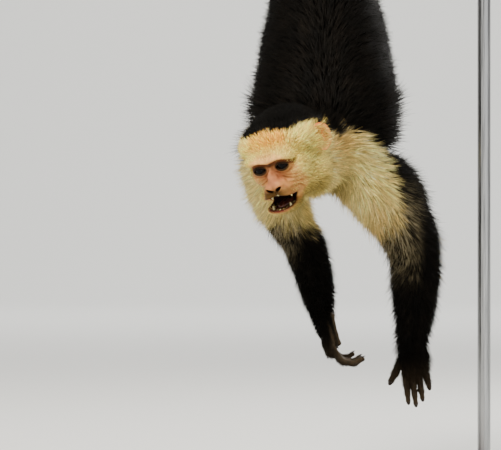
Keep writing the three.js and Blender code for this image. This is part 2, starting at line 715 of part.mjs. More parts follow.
const HAND_LEFT = {
  wrist: new THREE.Vector3(86.8, -3.6, 143),
  along: [0.09, 0.15, -0.99],
  palm: [0, 1, 0.15],
  mirror: 1,
  lean: -0.06,
  knuckleBends: [3, 2, 3, 8],
  jointBends: [6, 5, 8, 12],
  thumb: { from: [9, 7.5, 1], f: 0.86, t: 0.5, p: 0.1, bones: [13, 11, 9] },
};
const HAND_RIGHT = {
  wrist: new THREE.Vector3(2, 12.8, 160.8),
  along: [0.21, -0.12, -0.97],
  palm: [0.97, 0, 0.21],
  mirror: -1,
  lean: 0,
  knuckleBends: [24, 28, 34, 42],
  jointBends: [42, 41, 39, 35],
  thumb: { from: [-8.3, 6.5, 5.2], f: 0.99, t: 0, p: -0.02, bones: [9, 11, 9] },
};

const perchBlock = perchSolid(GAP);
const headBlock = buildHead();
const trunkBlock = buildTrunk(headBlock);
const neckBlock = buildNeck(trunkBlock, headBlock);
buildArm("left", ARM_LEFT, HAND_LEFT, [trunkBlock, neckBlock, headBlock]);
buildArm("right", ARM_RIGHT, HAND_RIGHT, [trunkBlock, neckBlock, headBlock]);
buildLeg("left", 1, trunkBlock, perchBlock);
buildLeg("right", -1, trunkBlock, perchBlock);
buildTail(trunkBlock, perchBlock);
buildStand();

export default model;
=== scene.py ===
"""Finishes the hanging capuchin monkey: one skin, a coat of tufts, eyes, teeth, nails, the branch
it hangs from and the display stand, on a plain studio floor.

Tables are in millimetres in the animal's own frame: its plumb line is x = y = 0, its back faces -Y,
its left side is +X, and z is the height above the floor. Meshes are made in metres in the frame."""
import math

import bmesh
import bpy
import numpy as np
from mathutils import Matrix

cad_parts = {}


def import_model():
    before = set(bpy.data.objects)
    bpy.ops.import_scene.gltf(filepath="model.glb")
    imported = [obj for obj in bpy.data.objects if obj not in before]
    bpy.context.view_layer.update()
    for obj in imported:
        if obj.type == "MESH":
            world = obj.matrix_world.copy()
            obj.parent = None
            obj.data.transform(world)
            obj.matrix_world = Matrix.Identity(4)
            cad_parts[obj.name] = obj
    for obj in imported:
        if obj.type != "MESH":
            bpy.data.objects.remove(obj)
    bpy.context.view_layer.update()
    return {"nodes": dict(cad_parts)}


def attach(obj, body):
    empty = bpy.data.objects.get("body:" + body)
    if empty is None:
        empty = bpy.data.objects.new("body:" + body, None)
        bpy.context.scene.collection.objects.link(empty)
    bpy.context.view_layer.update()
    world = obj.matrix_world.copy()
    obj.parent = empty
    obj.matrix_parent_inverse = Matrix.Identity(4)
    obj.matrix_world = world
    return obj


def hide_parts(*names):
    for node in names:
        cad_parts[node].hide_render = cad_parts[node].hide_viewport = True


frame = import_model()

import openvdb
from mathutils import Matrix, Vector, kdtree

bl_info = {
    "name": "Capuchin monkey finish",
    "version": (1, 0, 0),
    "blender": (4, 5, 0),
    "location": "3D View > Sidebar > Capuchin",
    "description": "Skin, coat, eyes, teeth, nails, branch and stand of a hanging capuchin monkey",
    "category": "Object",
}

MM = 0.001
PLUMB = np.array([-36.0, 10.0, 0.0])  # where the animal's plumb line stands on the base
ACROSS = np.array([1.0, 0.0, 0.0])
UP = np.array([0.0, 0.0, 1.0])
SEED = 7

# ---------------------------------------------------------------- the animal's measures
# Each ring: centre x, y, z, half width and half depth of the skin, depth of the coat.
TRUNK = [
    [0, -4, 640, 26, 26, 10],
    [0, 2, 616, 39, 37, 12],
    [0, 5, 586, 44, 41, 13],
    [0, 5, 550, 39, 39, 13],
    [-1, 3, 511, 38, 41, 13],
    [-1, 1, 480, 41, 44, 13],
    [0, -1, 452, 47, 47, 13.5],
    [0, -4, 420, 52, 47, 14],
    [0, -8, 388, 55, 43, 14],
    [0, -12, 358, 50, 36, 14],
    [-4, -16, 336, 36, 28, 13],
]
NECK = [
    [-8, -18, 343, 33, 33, 11],
    [-16, -48, 332, 30, 30, 12],
    [-23, -80, 324, 27, 27, 10],
    [-28, -98, 322, 24, 24, 8],
]
ARM_LEFT = [
    [14, -12, 360, 28, 25, 9],
    [32, -12, 318, 22, 24, 12],
    [58, -8, 295, 25, 24, 13],
    [74, -4, 270, 20, 20, 12.5],
    [86, 2, 245, 17, 17, 12],
    [90, 2, 225, 16, 16, 10.5],
    [90, 0, 205, 15.5, 14.5, 10.5],
    [90, -1, 185, 13.5, 12.5, 9.5],
    [89, -2, 167, 11.5, 10.5, 8.5],
    [87.3, -3, 153, 10.5, 8.5, 6.5],
    [87, -3, 141, 11, 7.5, 4.5],
]
ARM_RIGHT = [
    [-18, -10, 362, 28, 25, 9],
    [-48, 0, 328, 24, 24, 11],
    [-45, 18, 292, 19, 19, 11],
    [-33, 32, 264, 14.5, 14.5, 9.5],
    [-21, 37, 244, 13.5, 14, 9],
    [-14.5, 34, 225, 13, 13, 8],
    [-9, 27, 204, 12, 11.5, 7.5],
    [-5, 20, 184, 10, 9.5, 5.5],
    [-2.4, 14, 170, 8.6, 8.2, 3.5],
    [1, 12.6, 157, 8.2, 8, 2.4],
]
LEG = [
    [24, 8, 598, 27, 30, 11],
    [44, 34, 632, 28, 27, 12],
    [59, 58, 664, 22, 22, 11],
    [67, 70, 691, 16, 16, 9],
    [67, 65, 719, 15.5, 15, 9],
    [64, 49, 749, 12, 12, 8],
    [62, 37, 777, 9, 9, 5.5],
    [62, 32, 790, 8.5, 8, 3.5],
]
PERCH = {"y": 0, "z": 812, "radius": 17, "left": -116, "right": 190}
TAIL_CLIMB = [
    [2, -16, 628],
    [5, -38, 656],
    [9, -51, 694],
    [12, -50, 734],
    [14, -42, 772],
]
TAIL = {"base": 17, "wrap": 11.5, "tip": 8, "turns": 1.3, "pitch": -27, "start_x": 14, "start": 186}
TAIL_COAT = 0.48  # share of the tail's radius that is coat

# The head's own frame: f forward, s to the animal's left, u up, from the point between the eyes.
HEAD = {"eyes": [-55.7, -140, 316], "yaw": 28, "pitch": 26, "roll": 12}
SKULL = [
    # centre f, s, u; half sizes f, s, u; how softly it joins the rest
    ([-42, 0, 12], [40, 32, 27], 6),  # braincase
    ([-21, 0, 3], [22, 27, 22], 10),  # forehead and face
    ([-24, 20, 15], [14, 12, 11], 8),  # temple
    ([-3.4, 11, 7.8], [6.8, 15, 4.8], 6),  # brow ridge
    ([-17, 19, -9], [14, 12, 12], 9),  # cheekbone
    ([-8, 7, -23], [16.5, 11.2, 9.5], 7),  # muzzle
    ([4, 0, -11], [5, 4.2, 9], 5),  # ridge of the nose
    ([6, 4.6, -17], [4.6, 4.6, 4], 4),  # wing of the nose
    ([-4, 8, -26.5], [11.5, 8.5, 5.6], 4),  # upper lip
    ([-30, 18, -26], [20, 13, 15], 9),  # jowl
    ([-9, 0, -42], [16, 15.4, 6.5], 6),  # chin
    ([-36, 0, -22], [27, 25, 19], 9),  # throat
]
HEAD_COAT = {"face": 0.8, "full": 8, "inner": 24, "outer": 46, "at": [6, 0, -16], "stretch": [0.9, 1, 0.85]}
# The open jaw is pushed to the animal's right, where its lips are stretched as well.
JAW_SLIDE = {"by": 4.4, "from": 26, "to": 35, "stretch": 0.2}
MOUTH = {"at": [3, 0, -34], "size": [21, 18.6, 8]}
NOSTRIL = {"at": [8.4, 4.9, -19], "slant": 27, "size": [4.2, 3.8, 1.6]}
TONGUE = {"at": [-7, -3.4, -39.4], "size": [11, 7.5, 2.6]}
EYE = {"at": [-7.8, 12.7, -0.7], "radius": 8.0, "lid_wide": 7.3, "lid_high": 3.1}
EAR = {"at": [-47, 37.5, 4], "high": 15, "wide": 10.6, "thick": 2.7, "turn": -38, "lean": -10}
UPPER_TEETH = [
    [2.6, 1.9, -26, 1.8, 2.2],
    [1.8, 5.2, -26, 1.7, 2.0],
    [0.6, 10.8, -25.5, 2.1, 6.6],
    [-5.5, 12.6, -26, 2.1, 3.6],
]
LOWER_TEETH = [
    [2.6, 1.9, -43, 1.6, 1.7],
    [1.8, 5.4, -43, 1.6, 1.8],
    [0.2, 10, -43.5, 2.0, 6.2],
    [-4.5, 11.8, -42.5, 1.9, 3.6],
]

# Index to little finger: place across the knuckles, share of the full length, sideways lean.
FINGERS = [[9.3, 0.96, 0.03], [2.9, 1.04, 0.01], [-3.5, 0.92, -0.02], [-10.2, 0.66, -0.1]]
FINGER_BONES = [16.5, 11.5, 8.5]
FINGER_RADII = [3.6, 3.35, 3.0, 2.5]
THUMB_RADII = [4.9, 4.4, 3.9, 3.1]
KNUCKLES_AT = 24  # how far the knuckles are from the wrist
# Rings of the palm: place along and across it, half width, half depth, depth of the coat.
PALM = [
    (-9, 0, 9.4, 7.2, 5.4),
    (4, 0, 12.2, 7.0, 4.6),
    (16, -0.5, 13.4, 6.4, 3.7),
    (27, -1, 12.4, 5.2, 2.8),
]
HAND_LEFT = {
    "wrist": [86.8, -3.6, 143], "along": [0.09, 0.15, -0.99], "palm": [0, 1, 0.15], "mirror": 1,
    "coat": 1.15, "lean": -0.06, "knuckles": [3, 2, 3, 8], "joints": [6, 5, 8, 12],
    "thumb": {"from": [9, 7.5, 1], "way": [0.86, 0.5, 0.1], "bones": [13, 11, 9]},
}
HAND_RIGHT = {
    "wrist": [2, 12.8, 160.8], "along": [0.21, -0.12, -0.97], "palm": [0.97, 0, 0.21], "mirror": -1,
    "coat": 0.75, "lean": 0, "knuckles": [25, 28, 32, 38], "joints": [42, 42, 40, 38],
    "thumb": {"from": [-8.3, 6.5, 5.2], "way": [0.99, 0, -0.02], "bones": [9, 11, 9]},
}
FOOT_X = 62
TOES = [-9.6, -3.2, 3.2, 9.4]  # places of the toes across the foot

FAR = 60.0  # a distance past which nothing of the body counts


# ---------------------------------------------------------------- small geometry helpers
def unit(v):
    v = np.asarray(v, float)
    return v / np.maximum(np.linalg.norm(v, axis=-1, keepdims=True), 1e-9)


def dot(a, b):
    return np.einsum("...i,...i->...", a, b)


def smoothstep(x, low, high):
    t = np.clip((x - low) / (high - low), 0, 1)
    return t * t * (3 - 2 * t)


def mix(a, b, t):
    """Between a and b by shares t, where a or b may be rows of three."""
    t = np.asarray(t)
    rows = any(np.ndim(v) and np.shape(v)[-1] == 3 for v in (a, b))
    return a + (b - a) * (t[..., None] if rows and t.ndim else t)


def soft_min(a, b, soft):
    h = np.maximum(soft - np.abs(a - b), 0) / soft
    return np.minimum(a, b) - h * h * soft / 4


def soft_max(a, b, soft):
    return -soft_min(-a, -b, soft)


def ellipsoid(p, at, size):
    q = (p - np.asarray(at, float)) / size
    k0 = np.sqrt(dot(q, q))
    q = q / size
    return k0 * (k0 - 1) / np.maximum(np.sqrt(dot(q, q)), 1e-6)


def soft_spot(p, at, size):
    """1 in the middle of a soft spot, and 0 far from it."""
    return np.exp(-(((p - at) / size) ** 2).sum(axis=1))


def turned(v, axis, degrees):
    return np.array(Matrix.Rotation(math.radians(degrees), 3, Vector(axis)) @ Vector(v))


def smooth_rows(rows, per_span):
    """More rows on a smooth curve through the given ones."""
    rows = np.asarray(rows, float)
    steps = np.sqrt(np.linalg.norm(np.diff(rows[:, :3], axis=0), axis=1))
    t = np.r_[0, np.cumsum(steps)]
    slope = np.gradient(rows, t, axis=0)
    h = np.linspace(0, 1, per_span, endpoint=False)[:, None]
    spans = [
        (2 * h**3 - 3 * h**2 + 1) * rows[i]
        + (h**3 - 2 * h**2 + h) * steps[i] * slope[i]
        + (3 * h**2 - 2 * h**3) * rows[i + 1]
        + (h**3 - h**2) * steps[i] * slope[i + 1]
        for i in range(len(rows) - 1)
    ]
    return np.vstack(spans + [rows[-1:]])


def ripple(p, wave, seed):
    """Smooth noise between about -1 and 1, with bumps a wave across."""
    rng = np.random.RandomState(seed)
    total = 0
    for _ in range(5):
        way = unit(rng.normal(size=3)) * rng.uniform(0.7, 1.5) * 2 * math.pi / wave
        total = total + np.sin(p @ way + rng.uniform(0, 2 * math.pi))
    return total / 2.6


def cloudy(p, wave, seed):
    """Smooth noise between 0 and 1."""
    return (ripple(p, wave, seed) * 0.5 + 0.5).clip(0, 1)


def world(p):
    """Metres in the row frame, from millimetres in the animal's own frame."""
    return (np.asarray(p, float) + PLUMB) * MM


# ---------------------------------------------------------------- solids of the bare body
class Tube:
    """A smooth limb of elliptical rings, rounded at both ends."""

    def __init__(self, rows, side=ACROSS, per_span=4):
        rows = smooth_rows(rows, per_span)
        self.at, self.across, self.deep, self.coat = rows[:, :3], rows[:, 3], rows[:, 4], rows[:, 5]
        self.along = unit(np.gradient(self.at, axis=0))
        self.v = unit(side - dot(self.along, side)[:, None] * self.along)
        self.w = np.cross(self.along, self.v)
        reach = np.maximum(self.across, self.deep)[:, None]
        self.low = (self.at - reach).min(axis=0)
        self.high = (self.at + reach).max(axis=0)

    def measure(self, p):
        """Distance to the surface, and where along the rings the nearest place is."""
        best = np.full(len(p), 1e6)
        where = np.zeros(len(p))
        for i in range(len(self.at) - 1):
            step = self.at[i + 1] - self.at[i]
            length = np.linalg.norm(step)
            h = np.clip((p - self.at[i]) @ step / length**2, 0, 1)
            q = p - self.at[i] - h[:, None] * step
            a = self.across[i] + h * (self.across[i + 1] - self.across[i])
            b = self.deep[i] + h * (self.deep[i + 1] - self.deep[i])
            c = np.minimum(a, b) * 0.8
            x = q @ unit(self.v[i] + self.v[i + 1])
            y = q @ unit(self.w[i] + self.w[i + 1])
            z = q @ (step / length)
            k0 = np.sqrt((x / a) ** 2 + (y / b) ** 2 + (z / c) ** 2)
            k1 = np.sqrt((x / a**2) ** 2 + (y / b**2) ** 2 + (z / c**2) ** 2)
            d = k0 * (k0 - 1) / np.maximum(k1, 1e-6)
            near = d < best
            best = np.where(near, d, best)
            where = np.where(near, i + h, where)
        return best, where

    def sample(self, values, where):
        i = np.clip(where.astype(int), 0, len(self.at) - 2)
        return mix(values[i], values[i + 1], where - i)


class Part:
    """A named stretch of the body: tubes joined softly, and how softly it joins the others."""

    def __init__(self, name, tubes, blend, inner=1.0):
        self.name, self.tubes, self.blend, self.inner = name, tubes, blend, inner
        self.low = np.min([t.low for t in tubes], axis=0)
        self.high = np.max([t.high for t in tubes], axis=0)

    def distance(self, p):
        d = self.tubes[0].measure(p)[0]
        for i, tube in enumerate(self.tubes[1:]):
            d = soft_min(d, tube.measure(p)[0], self.inner)
        return d

    def locate(self, p):
        """Share along the part, direction, depth of the coat and turn around it, at the nearest ring."""
        best = np.full(len(p), 1e6)
        share, along, coat = np.zeros(len(p)), np.zeros((len(p), 3)), np.zeros(len(p))
        turn = np.zeros(len(p))
        for tube in self.tubes:
            d, where = tube.measure(p)
            near = d < best
            best = np.where(near, d, best)
            share[near] = (where / (len(tube.at) - 1))[near]
            along[near] = unit(tube.sample(tube.along, where))[near]
            coat[near] = tube.sample(tube.coat, where)[near]
            out = p - tube.sample(tube.at, where)
            angle = np.arctan2(dot(out, tube.sample(tube.w, where)), dot(out, tube.sample(tube.v, where)))
            turn[near] = angle[near]
        return share, along, coat, turn


def head_axes():
    yaw, pitch, roll = (math.radians(HEAD[k]) for k in ("yaw", "pitch", "roll"))
    f = np.array([-math.sin(yaw) * math.cos(pitch), -math.cos(yaw) * math.cos(pitch), -math.sin(pitch)])
    level = np.array([math.cos(yaw), -math.sin(yaw), 0])
    s = level * math.cos(roll) + np.cross(f, level) * math.sin(roll)
    return np.array([f, s, np.cross(f, s)])


HEAD_AXES = head_axes()


def to_head(p):
    return (p - np.array(HEAD["eyes"])) @ HEAD_AXES.T


def from_head(q):
    return np.asarray(q, float) @ HEAD_AXES + np.array(HEAD["eyes"])


def mirror_half(q):
    """The head's left half stands for both, once the jaw is back in line."""
    half = q.copy()
    share = smoothstep(-q[:, 2], JAW_SLIDE["from"], JAW_SLIDE["to"]) * smoothstep(q[:, 0], -34, -14)
    across = half[:, 1] + JAW_SLIDE["by"] * share
    right = smoothstep(-across, 0, 10)
    half[:, 1] = np.abs(across) * (1 - JAW_SLIDE["stretch"] * share * right)
    return half


def ear_frame(half):
    """Into the left ear's frame: x along its width, y out of its hollow, z up its height."""
    turn = Matrix.Rotation(math.radians(EAR["turn"]), 3, "Z")
    lean = Matrix.Rotation(math.radians(EAR["lean"]), 3, "X")
    return (half - np.array(EAR["at"], float)) @ np.array(turn @ lean)


def ear_distance(half):
    q = ear_frame(half)
    size = np.array([EAR["wide"], EAR["thick"], EAR["high"]])
    shell = ellipsoid(q, [0, 0, 0], size)
    hollow = ellipsoid(q, [0.6, EAR["thick"], 0.8], size * [0.76, 0.95, 0.8])
    d = soft_max(shell, -hollow, 1.0)
    ridge = ellipsoid(q, [-1.5, 0.4, 0.5], [1.6, 1.6, 8.5])
    tragus = ellipsoid(q, [6.2, 1.6, -4.5], [2.6, 1.6, 4.0])
    return soft_min(soft_min(d, ridge, 1.2), tragus, 1.4)


def ear_rim(local):
    """0 in the middle of the ear and 1 at its rim, from places in its own frame."""
    return np.hypot(local[:, 0] / EAR["wide"], local[:, 2] / EAR["high"])


def brow_height(q):
    """How high a place of the head is, square to the slope of the forehead."""
    return 0.941 * q[:, 2] - 0.336 * q[:, 0]


# Folds of the face: points s, u of each crease on the left side, its depth and its width.
CREASES = [
    ([(0, 3.0), (5, 3.9), (10, 4.7), (15, 4.6), (20, 2.4), (24, 0.6)], 1.8, 2.0),  # under the brow
    ([(4.5, -4.8), (9, -7.2), (15, -7.6), (21, -5.2)], 0.7, 0.9),  # under the lower lid
    ([(7.5, -7.4), (11, -9.6), (16, -11.6), (21, -12.4), (26, -12.2)], 0.6, 0.8),
    ([(8, -10.8), (11, -12.8), (18, -15.6), (27, -16.4)], 0.65, 0.8),
    ([(9.6, -14.4), (12, -16.8), (17.6, -19.8), (24.6, -21.8)], 0.65, 0.9),
    ([(10, -17.4), (12.6, -21), (15, -25), (17.4, -30)], 0.5, 1.1),  # nose to mouth
    ([(15.6, -22), (20, -25), (22.4, -29.4), (21.5, -36)], 0.65, 0.9),
    ([(25, -19.4), (27.6, -24.6), (26, -30.6)], 0.6, 1.0),
    ([(0, 16.5), (6, 16.0), (13, 17.4)], 0.4, 1.0),  # forehead
    ([(0, 20.5), (6, 20.0), (14, 21.4)], 0.4, 1.0),
    ([(0, 12.6), (4, 12.4), (8, 13.4)], 0.45, 0.9),
    ([(0.8, 3.6), (1.8, 0.6), (2.4, -2.6)], 0.4, 0.9),  # beside the nose's root
    ([(3.4, -24.6), (2.6, -20.8)], 0.35, 0.8),  # upper lip
]


def crease_depth(half):
    """How deep the folds cut in at each place of the face."""
    depth = np.zeros(len(half))
    for points, deep, wide in CREASES:
        points = np.asarray(points, float)
        best = np.full(len(half), 1e3)
        for a, b in zip(points[:-1], points[1:]):
            step = b - a
            h = np.clip((half[:, 1:] - a) @ step / (step @ step), 0, 1)
            best = np.minimum(best, np.linalg.norm(half[:, 1:] - a - h[:, None] * step, axis=1))
        depth = np.maximum(depth, deep * np.exp(-((best / wide) ** 2)))
    return depth * smoothstep(half[:, 0], -26, -14)


def lid_gap(half):
    """Below zero where the lids are open."""
    x = (half[:, 1] - EYE["at"][1]) / EYE["lid_wide"]
    bow = np.maximum(1 - x * x, -0.6)
    u = half[:, 2] - EYE["at"][2]
    gap = np.maximum(u - EYE["lid_high"] * bow, -u - EYE["lid_high"] * 0.86 * bow)
    return np.maximum(gap, (np.abs(x) - 1) * 4)


def nostril(half):
    """Below zero inside the nostril."""
    turn = np.array(Matrix.Rotation(math.radians(NOSTRIL["slant"]), 3, "X"))
    return ellipsoid((half - NOSTRIL["at"]) @ turn, [0, 0, 0], np.array(NOSTRIL["size"]))


def head_distance(p):
    """Signed distance to the skin of the head, with its face and ears."""
    half = mirror_half(to_head(p))
    d = np.full(len(half), 1e3)
    for at, size, soft in SKULL:
        d = soft_min(d, ellipsoid(half, at, size), soft)
    ear = soft_min(d, ear_distance(half), 3.0)
    d = np.where(half[:, 0] < -20, ear, d)
    face = half[:, 0] > -34
    if not face.any():
        return d
    q, e = half[face], d[face]
    # eye sockets and folds, then the lids drawn over the ball
    e = soft_max(e, -ellipsoid(q, [3.5, 13, 0.4], [6.5, 10.5, 6.4]), 3.5) + crease_depth(q)
    eye = np.array(EYE["at"], float)
    ball = np.linalg.norm(q - eye, axis=1) - EYE["radius"]
    lids = np.linalg.norm((q - eye) * [1, 0.93, 1.08], axis=1) - EYE["radius"] - 1.5
    e = soft_min(e, lids, 2.6)
    # the fuller upper lip and the pads at the whiskers' roots
    e = soft_min(e, ellipsoid(q, [2.2, 8.2, -24.5], [5.6, 6.0, 4.4]), 3.0)
    # mouth with rolled lips
    mouth = ellipsoid(q, MOUTH["at"], MOUTH["size"])
    e = e - 1.5 * np.exp(-(((mouth - 1.8) / 1.7) ** 2)) * smoothstep(q[:, 0], -9, 0)
    e = soft_max(e, -mouth, 1.2)
    # nostrils: slots that slant up and out, each with a raised rim
    slot = nostril(q)
    e = e - 0.7 * np.exp(-(((slot - 1.0) / 0.8) ** 2)) * smoothstep(q[:, 0], 1, 5)
    e = soft_max(e, -slot, 0.7)
    e = soft_max(e, -np.maximum(lid_gap(q), 4.0 - ball - EYE["radius"]), 0.5)
    e = np.maximum(e, -(ball - 0.12))
    d = d.copy()
    d[face] = e
    return d


class Head:
    """The head as a part of the body."""

    name, blend, reach = "head", 8.0, 100
    low = np.array(HEAD["eyes"]) - reach
    high = np.array(HEAD["eyes"]) + reach

    def distance(self, p):
        return head_distance(p)


# ---------------------------------------------------------------- hands, feet and tail
def digit_rows(base, along, palm, bends, lengths, radii):
    """Rings of one finger: a little thicker at each joint, and bent towards the palm there."""
    axis = unit(np.cross(along, palm))
    way, at = unit(along), np.array(base, float)
    rows = [[*at, radii[0], radii[0], 2.2]]
    for i, length in enumerate(lengths):
        way = turned(way, axis, bends[i])
        middle = at + way * length * 0.5
        at = at + way * length
        thin = min(radii[i], radii[i + 1]) * 0.93
        rows.append([*middle, thin, thin, 1.9 - 0.4 * i])
        rows.append([*at, radii[i + 1] * 1.02, radii[i + 1] * 0.98, 1.6 - 0.5 * i])
    return rows, axis, way


def hand_frame(hand):
    """Directions along a hand, across it to the thumb's side, and out of its palm."""
    f = unit(hand["along"])
    p = np.array(hand["palm"], float)
    p = unit(p - (p @ f) * f)
    t = np.cross(p, f) if hand["mirror"] > 0 else np.cross(f, p)
    return f, t, p


def hand_digits(hand):
    """Rings, bending axis and end direction of the four fingers and the thumb."""
    f, t, p = hand_frame(hand)
    wrist = np.array(hand["wrist"], float)
    axis = unit(np.cross(f, p))
    made = []
    for (offset, share, lean), knuckle, joint in zip(FINGERS, hand["knuckles"], hand["joints"]):
        way = unit(turned(f, axis, knuckle) + t * (lean + hand["lean"]))
        bones = [b * share for b in FINGER_BONES]
        base = wrist + f * KNUCKLES_AT + t * offset + p * 0.5
        made.append(digit_rows(base, way, p, [0, joint, joint * 0.9], bones, FINGER_RADII))
    thumb = hand["thumb"]
    base = wrist + f * thumb["from"][0] + t * thumb["from"][1] + p * thumb["from"][2]
    way = unit(f * thumb["way"][0] + t * thumb["way"][1] + p * thumb["way"][2])
    made.append(digit_rows(base, way, p, [0, 6, 6], thumb["bones"], THUMB_RADII))
    return made


def hand_tubes(hand):
    """The palm, the fingers and the thumb."""
    f, t, _ = hand_frame(hand)
    wrist = np.array(hand["wrist"], float)
    palm = [[*(wrist + f * a + t * b), across, deep, coat * hand["coat"]]
            for a, b, across, deep, coat in PALM]
    return [Tube(palm, t, 4)] + [Tube(rows, axis, 2) for rows, axis, _ in hand_digits(hand)]


def round_perch(x, radius, degrees):
    """A place at this radius and turn around the branch."""
    turn = math.radians(degrees)
    return np.array([x, PERCH["y"] + radius * math.cos(turn), PERCH["z"] + radius * math.sin(turn)])


def wrapped_rows(from_x, to_x, height, start, end, radii):
    """Rings of a toe or sole that follows the branch's girth."""
    rows = []
    for i, (across, deep) in enumerate(radii):
        t = i / (len(radii) - 1)
        radius = PERCH["radius"] + 0.3 + deep + height
        at = round_perch(from_x + (to_x - from_x) * t, radius, start + (end - start) * t)
        rows.append([*at, across, deep, 1.2])
    return rows


def toe_radii(r):
    return [(r, r), (r, r * 0.96), (r * 0.9, r * 0.88), (r * 0.6, r * 0.6)]


def foot_rows(mirror):
    """Rings of a sole, its four toes and its big toe, gripping the branch."""
    x = FOOT_X
    rows = [wrapped_rows(x, x, 1, -42, 72, [(9, 7), (11.4, 7.4), (12.4, 6.4), (12, 4.8)])]
    for i, offset in enumerate(TOES):
        end = 168 - abs(i - 1.4) * 9  # the middle toes reach furthest
        rows.append(wrapped_rows(x + offset, x + offset * 1.15, 0, 60, end, toe_radii(3.3)))
    rows.append(wrapped_rows(x - 8, x - 15, 0, -20, -132, toe_radii(4.0)))
    return [mirrored(r, mirror) for r in rows]


def mirrored(rows, mirror=-1):
    rows = np.array(rows, float)
    rows[:, 0] *= mirror
    return rows


def tail_rows():
    """Rings of the tail, up from the rump and around the branch."""
    steps = 24
    reach = PERCH["radius"] + 0.7 + TAIL["wrap"]
    points = [list(p) for p in TAIL_CLIMB]
    for i in range(steps + 1):
        t = i / steps
        x = TAIL["start_x"] + TAIL["pitch"] * TAIL["turns"] * t
        points.append(round_perch(x, reach, TAIL["start"] - 360 * TAIL["turns"] * t))
    points = np.array(points, float)
    run = np.r_[0, np.cumsum(np.linalg.norm(np.diff(points, axis=0), axis=1))]
    t = run / run[-1]
    radius = np.where(
        t < 0.45,
        TAIL["base"] + (TAIL["wrap"] - TAIL["base"]) * smoothstep(t, 0, 0.45),
        TAIL["wrap"] + (TAIL["tip"] - TAIL["wrap"]) * smoothstep(t, 0.75, 1),
    )
    coat = radius * TAIL_COAT
    return np.column_stack([points, radius - coat, radius - coat, coat])


PARTS = [
    Part("trunk", [Tube(TRUNK)], 0.1),
    Part("neck", [Tube(NECK, UP)], 18),
    Head(),
    Part("arm_left", [Tube(ARM_LEFT)], 16),
    Part("arm_right", [Tube(ARM_RIGHT)], 14),
    Part("leg_left", [Tube(LEG)], 14),
    Part("leg_right", [Tube(mirrored(LEG))], 14),
    Part("tail", [Tube(tail_rows(), per_span=2)], 6),
    Part("hand_left", hand_tubes(HAND_LEFT), 3, 0.8),
    Part("hand_right", hand_tubes(HAND_RIGHT), 3, 0.8),
    Part("foot_left", [Tube(r, per_span=3) for r in foot_rows(1)], 4, 1.6),
    Part("foot_right", [Tube(r, per_span=3) for r in foot_rows(-1)], 4, 1.6),
]
HANDS = {"hand_left": HAND_LEFT, "hand_right": HAND_RIGHT}
FEET = ("foot_left", "foot_right")
PART_NAMES = [part.name for part in PARTS]
PART_PAD = 14  # how far past its own rings a part can still bend the surface


def on(home, *names):
    """Which places belong to the named parts."""
    return np.isin(home, [PART_NAMES.index(name) for name in names])


def body_distance(p):
    """Signed distance from places in the animal's frame to its bare skin."""
    d = np.full(len(p), FAR)
    for part in PARTS:
        pad = part.blend + PART_PAD
        near = np.flatnonzero(((p > part.low - pad) & (p < part.high + pad)).all(axis=1))
        if near.size:
            d[near] = soft_min(d[near], part.distance(p[near]), part.blend)
    return d


# ---------------------------------------------------------------- the skin's mesh
COARSE = 6.0
FINE_X = [(-101, -12, 0.85), (-112, -101, 1.5), (40, 112, 1.5), (-12, 40, 1.7)]
FINE_Y = [(-153, -112, 0.85), (-112, -72, 1.6), (-46, 38, 1.5)]
FINE_Z = [(78, 176, 1.4), (268, 353, 0.85), (353, 397, 1.4), (770, 850, 1.4)]
ROUGH = 3.0
GRID_LOW = [-112, -160, 78]  # nothing of the body lies below these
FIELD_LIMIT, FIELD_BAND = 9.0, 8.5  # distances are exact within the band


def grid_lines(low, high, fine):
    """Grid lines that stand closer together inside the given stretches."""
    lines = [low]
    while lines[-1] < high:
        steps = [step for start, end, step in fine if start - 1 <= lines[-1] < end]
        lines.append(lines[-1] + min(steps + [ROUGH]))
    return np.array(lines)


def skin_mesh():
    """Places and quads of the bare skin, in the animal's frame."""
    low = np.min([part.low for part in PARTS], axis=0) - 4
    high = np.max([part.high for part in PARTS], axis=0) + 4
    low = np.maximum(low, GRID_LOW)
    lines = [grid_lines(a, b, fine) for a, b, fine in zip(low, high, (FINE_X, FINE_Y, FINE_Z))]
    coarse = [np.arange(a, b + COARSE, COARSE) for a, b in zip(low, high)]
    mesh = np.stack(np.meshgrid(*coarse, indexing="ij"), axis=-1)
    rough = body_distance(mesh.reshape(-1, 3)).reshape(mesh.shape[:3])
    nearest = [np.clip(np.rint((ln - lo) / COARSE).astype(int), 0, n - 1)
               for ln, lo, n in zip(lines, low, rough.shape)]
    field = np.clip(rough[np.ix_(*nearest)], -FIELD_LIMIT, FIELD_LIMIT).astype(np.float32)
    band = np.argwhere(np.abs(field) < FIELD_BAND)
    places = np.column_stack([line[band[:, k]] for k, line in enumerate(lines)])
    field[tuple(band.T)] = body_distance(places)
    grid = openvdb.FloatGrid(FIELD_LIMIT)
    grid.copyFromArray(field)
    points, _, quads = grid.convertToPolygons(0.0, 0.0)
    points = [np.interp(points[:, k], np.arange(len(line)), line) for k, line in enumerate(lines)]
    return np.column_stack(points), quads.astype(int)


def field_slope(p, step=0.35):
    """How the distance to the skin changes along each axis."""
    slope = np.empty_like(p)
    for k in range(3):
        move = np.zeros(3)
        move[k] = step
        slope[:, k] = body_distance(p + move) - body_distance(p - move)
    return slope / (2 * step)


def settle(points, longest=0.8):
    """Draws places onto the true surface, by a step of no more than the longest."""
    slope = field_slope(points)
    steep = np.maximum(dot(slope, slope), 0.15)
    move = (body_distance(points) / steep)[:, None] * slope
    size = np.linalg.norm(move, axis=1, keepdims=True)
    return points - move * np.minimum(1, longest / np.maximum(size, 1e-6))


# ---------------------------------------------------------------- colours and markings
def tint(red, green, blue):
    """A colour given in 0 to 255 display values, as linear light."""
    c = np.array([red, green, blue]) / 255
    return np.where(c <= 0.04045, c / 12.92, ((c + 0.055) / 1.055) ** 2.4)


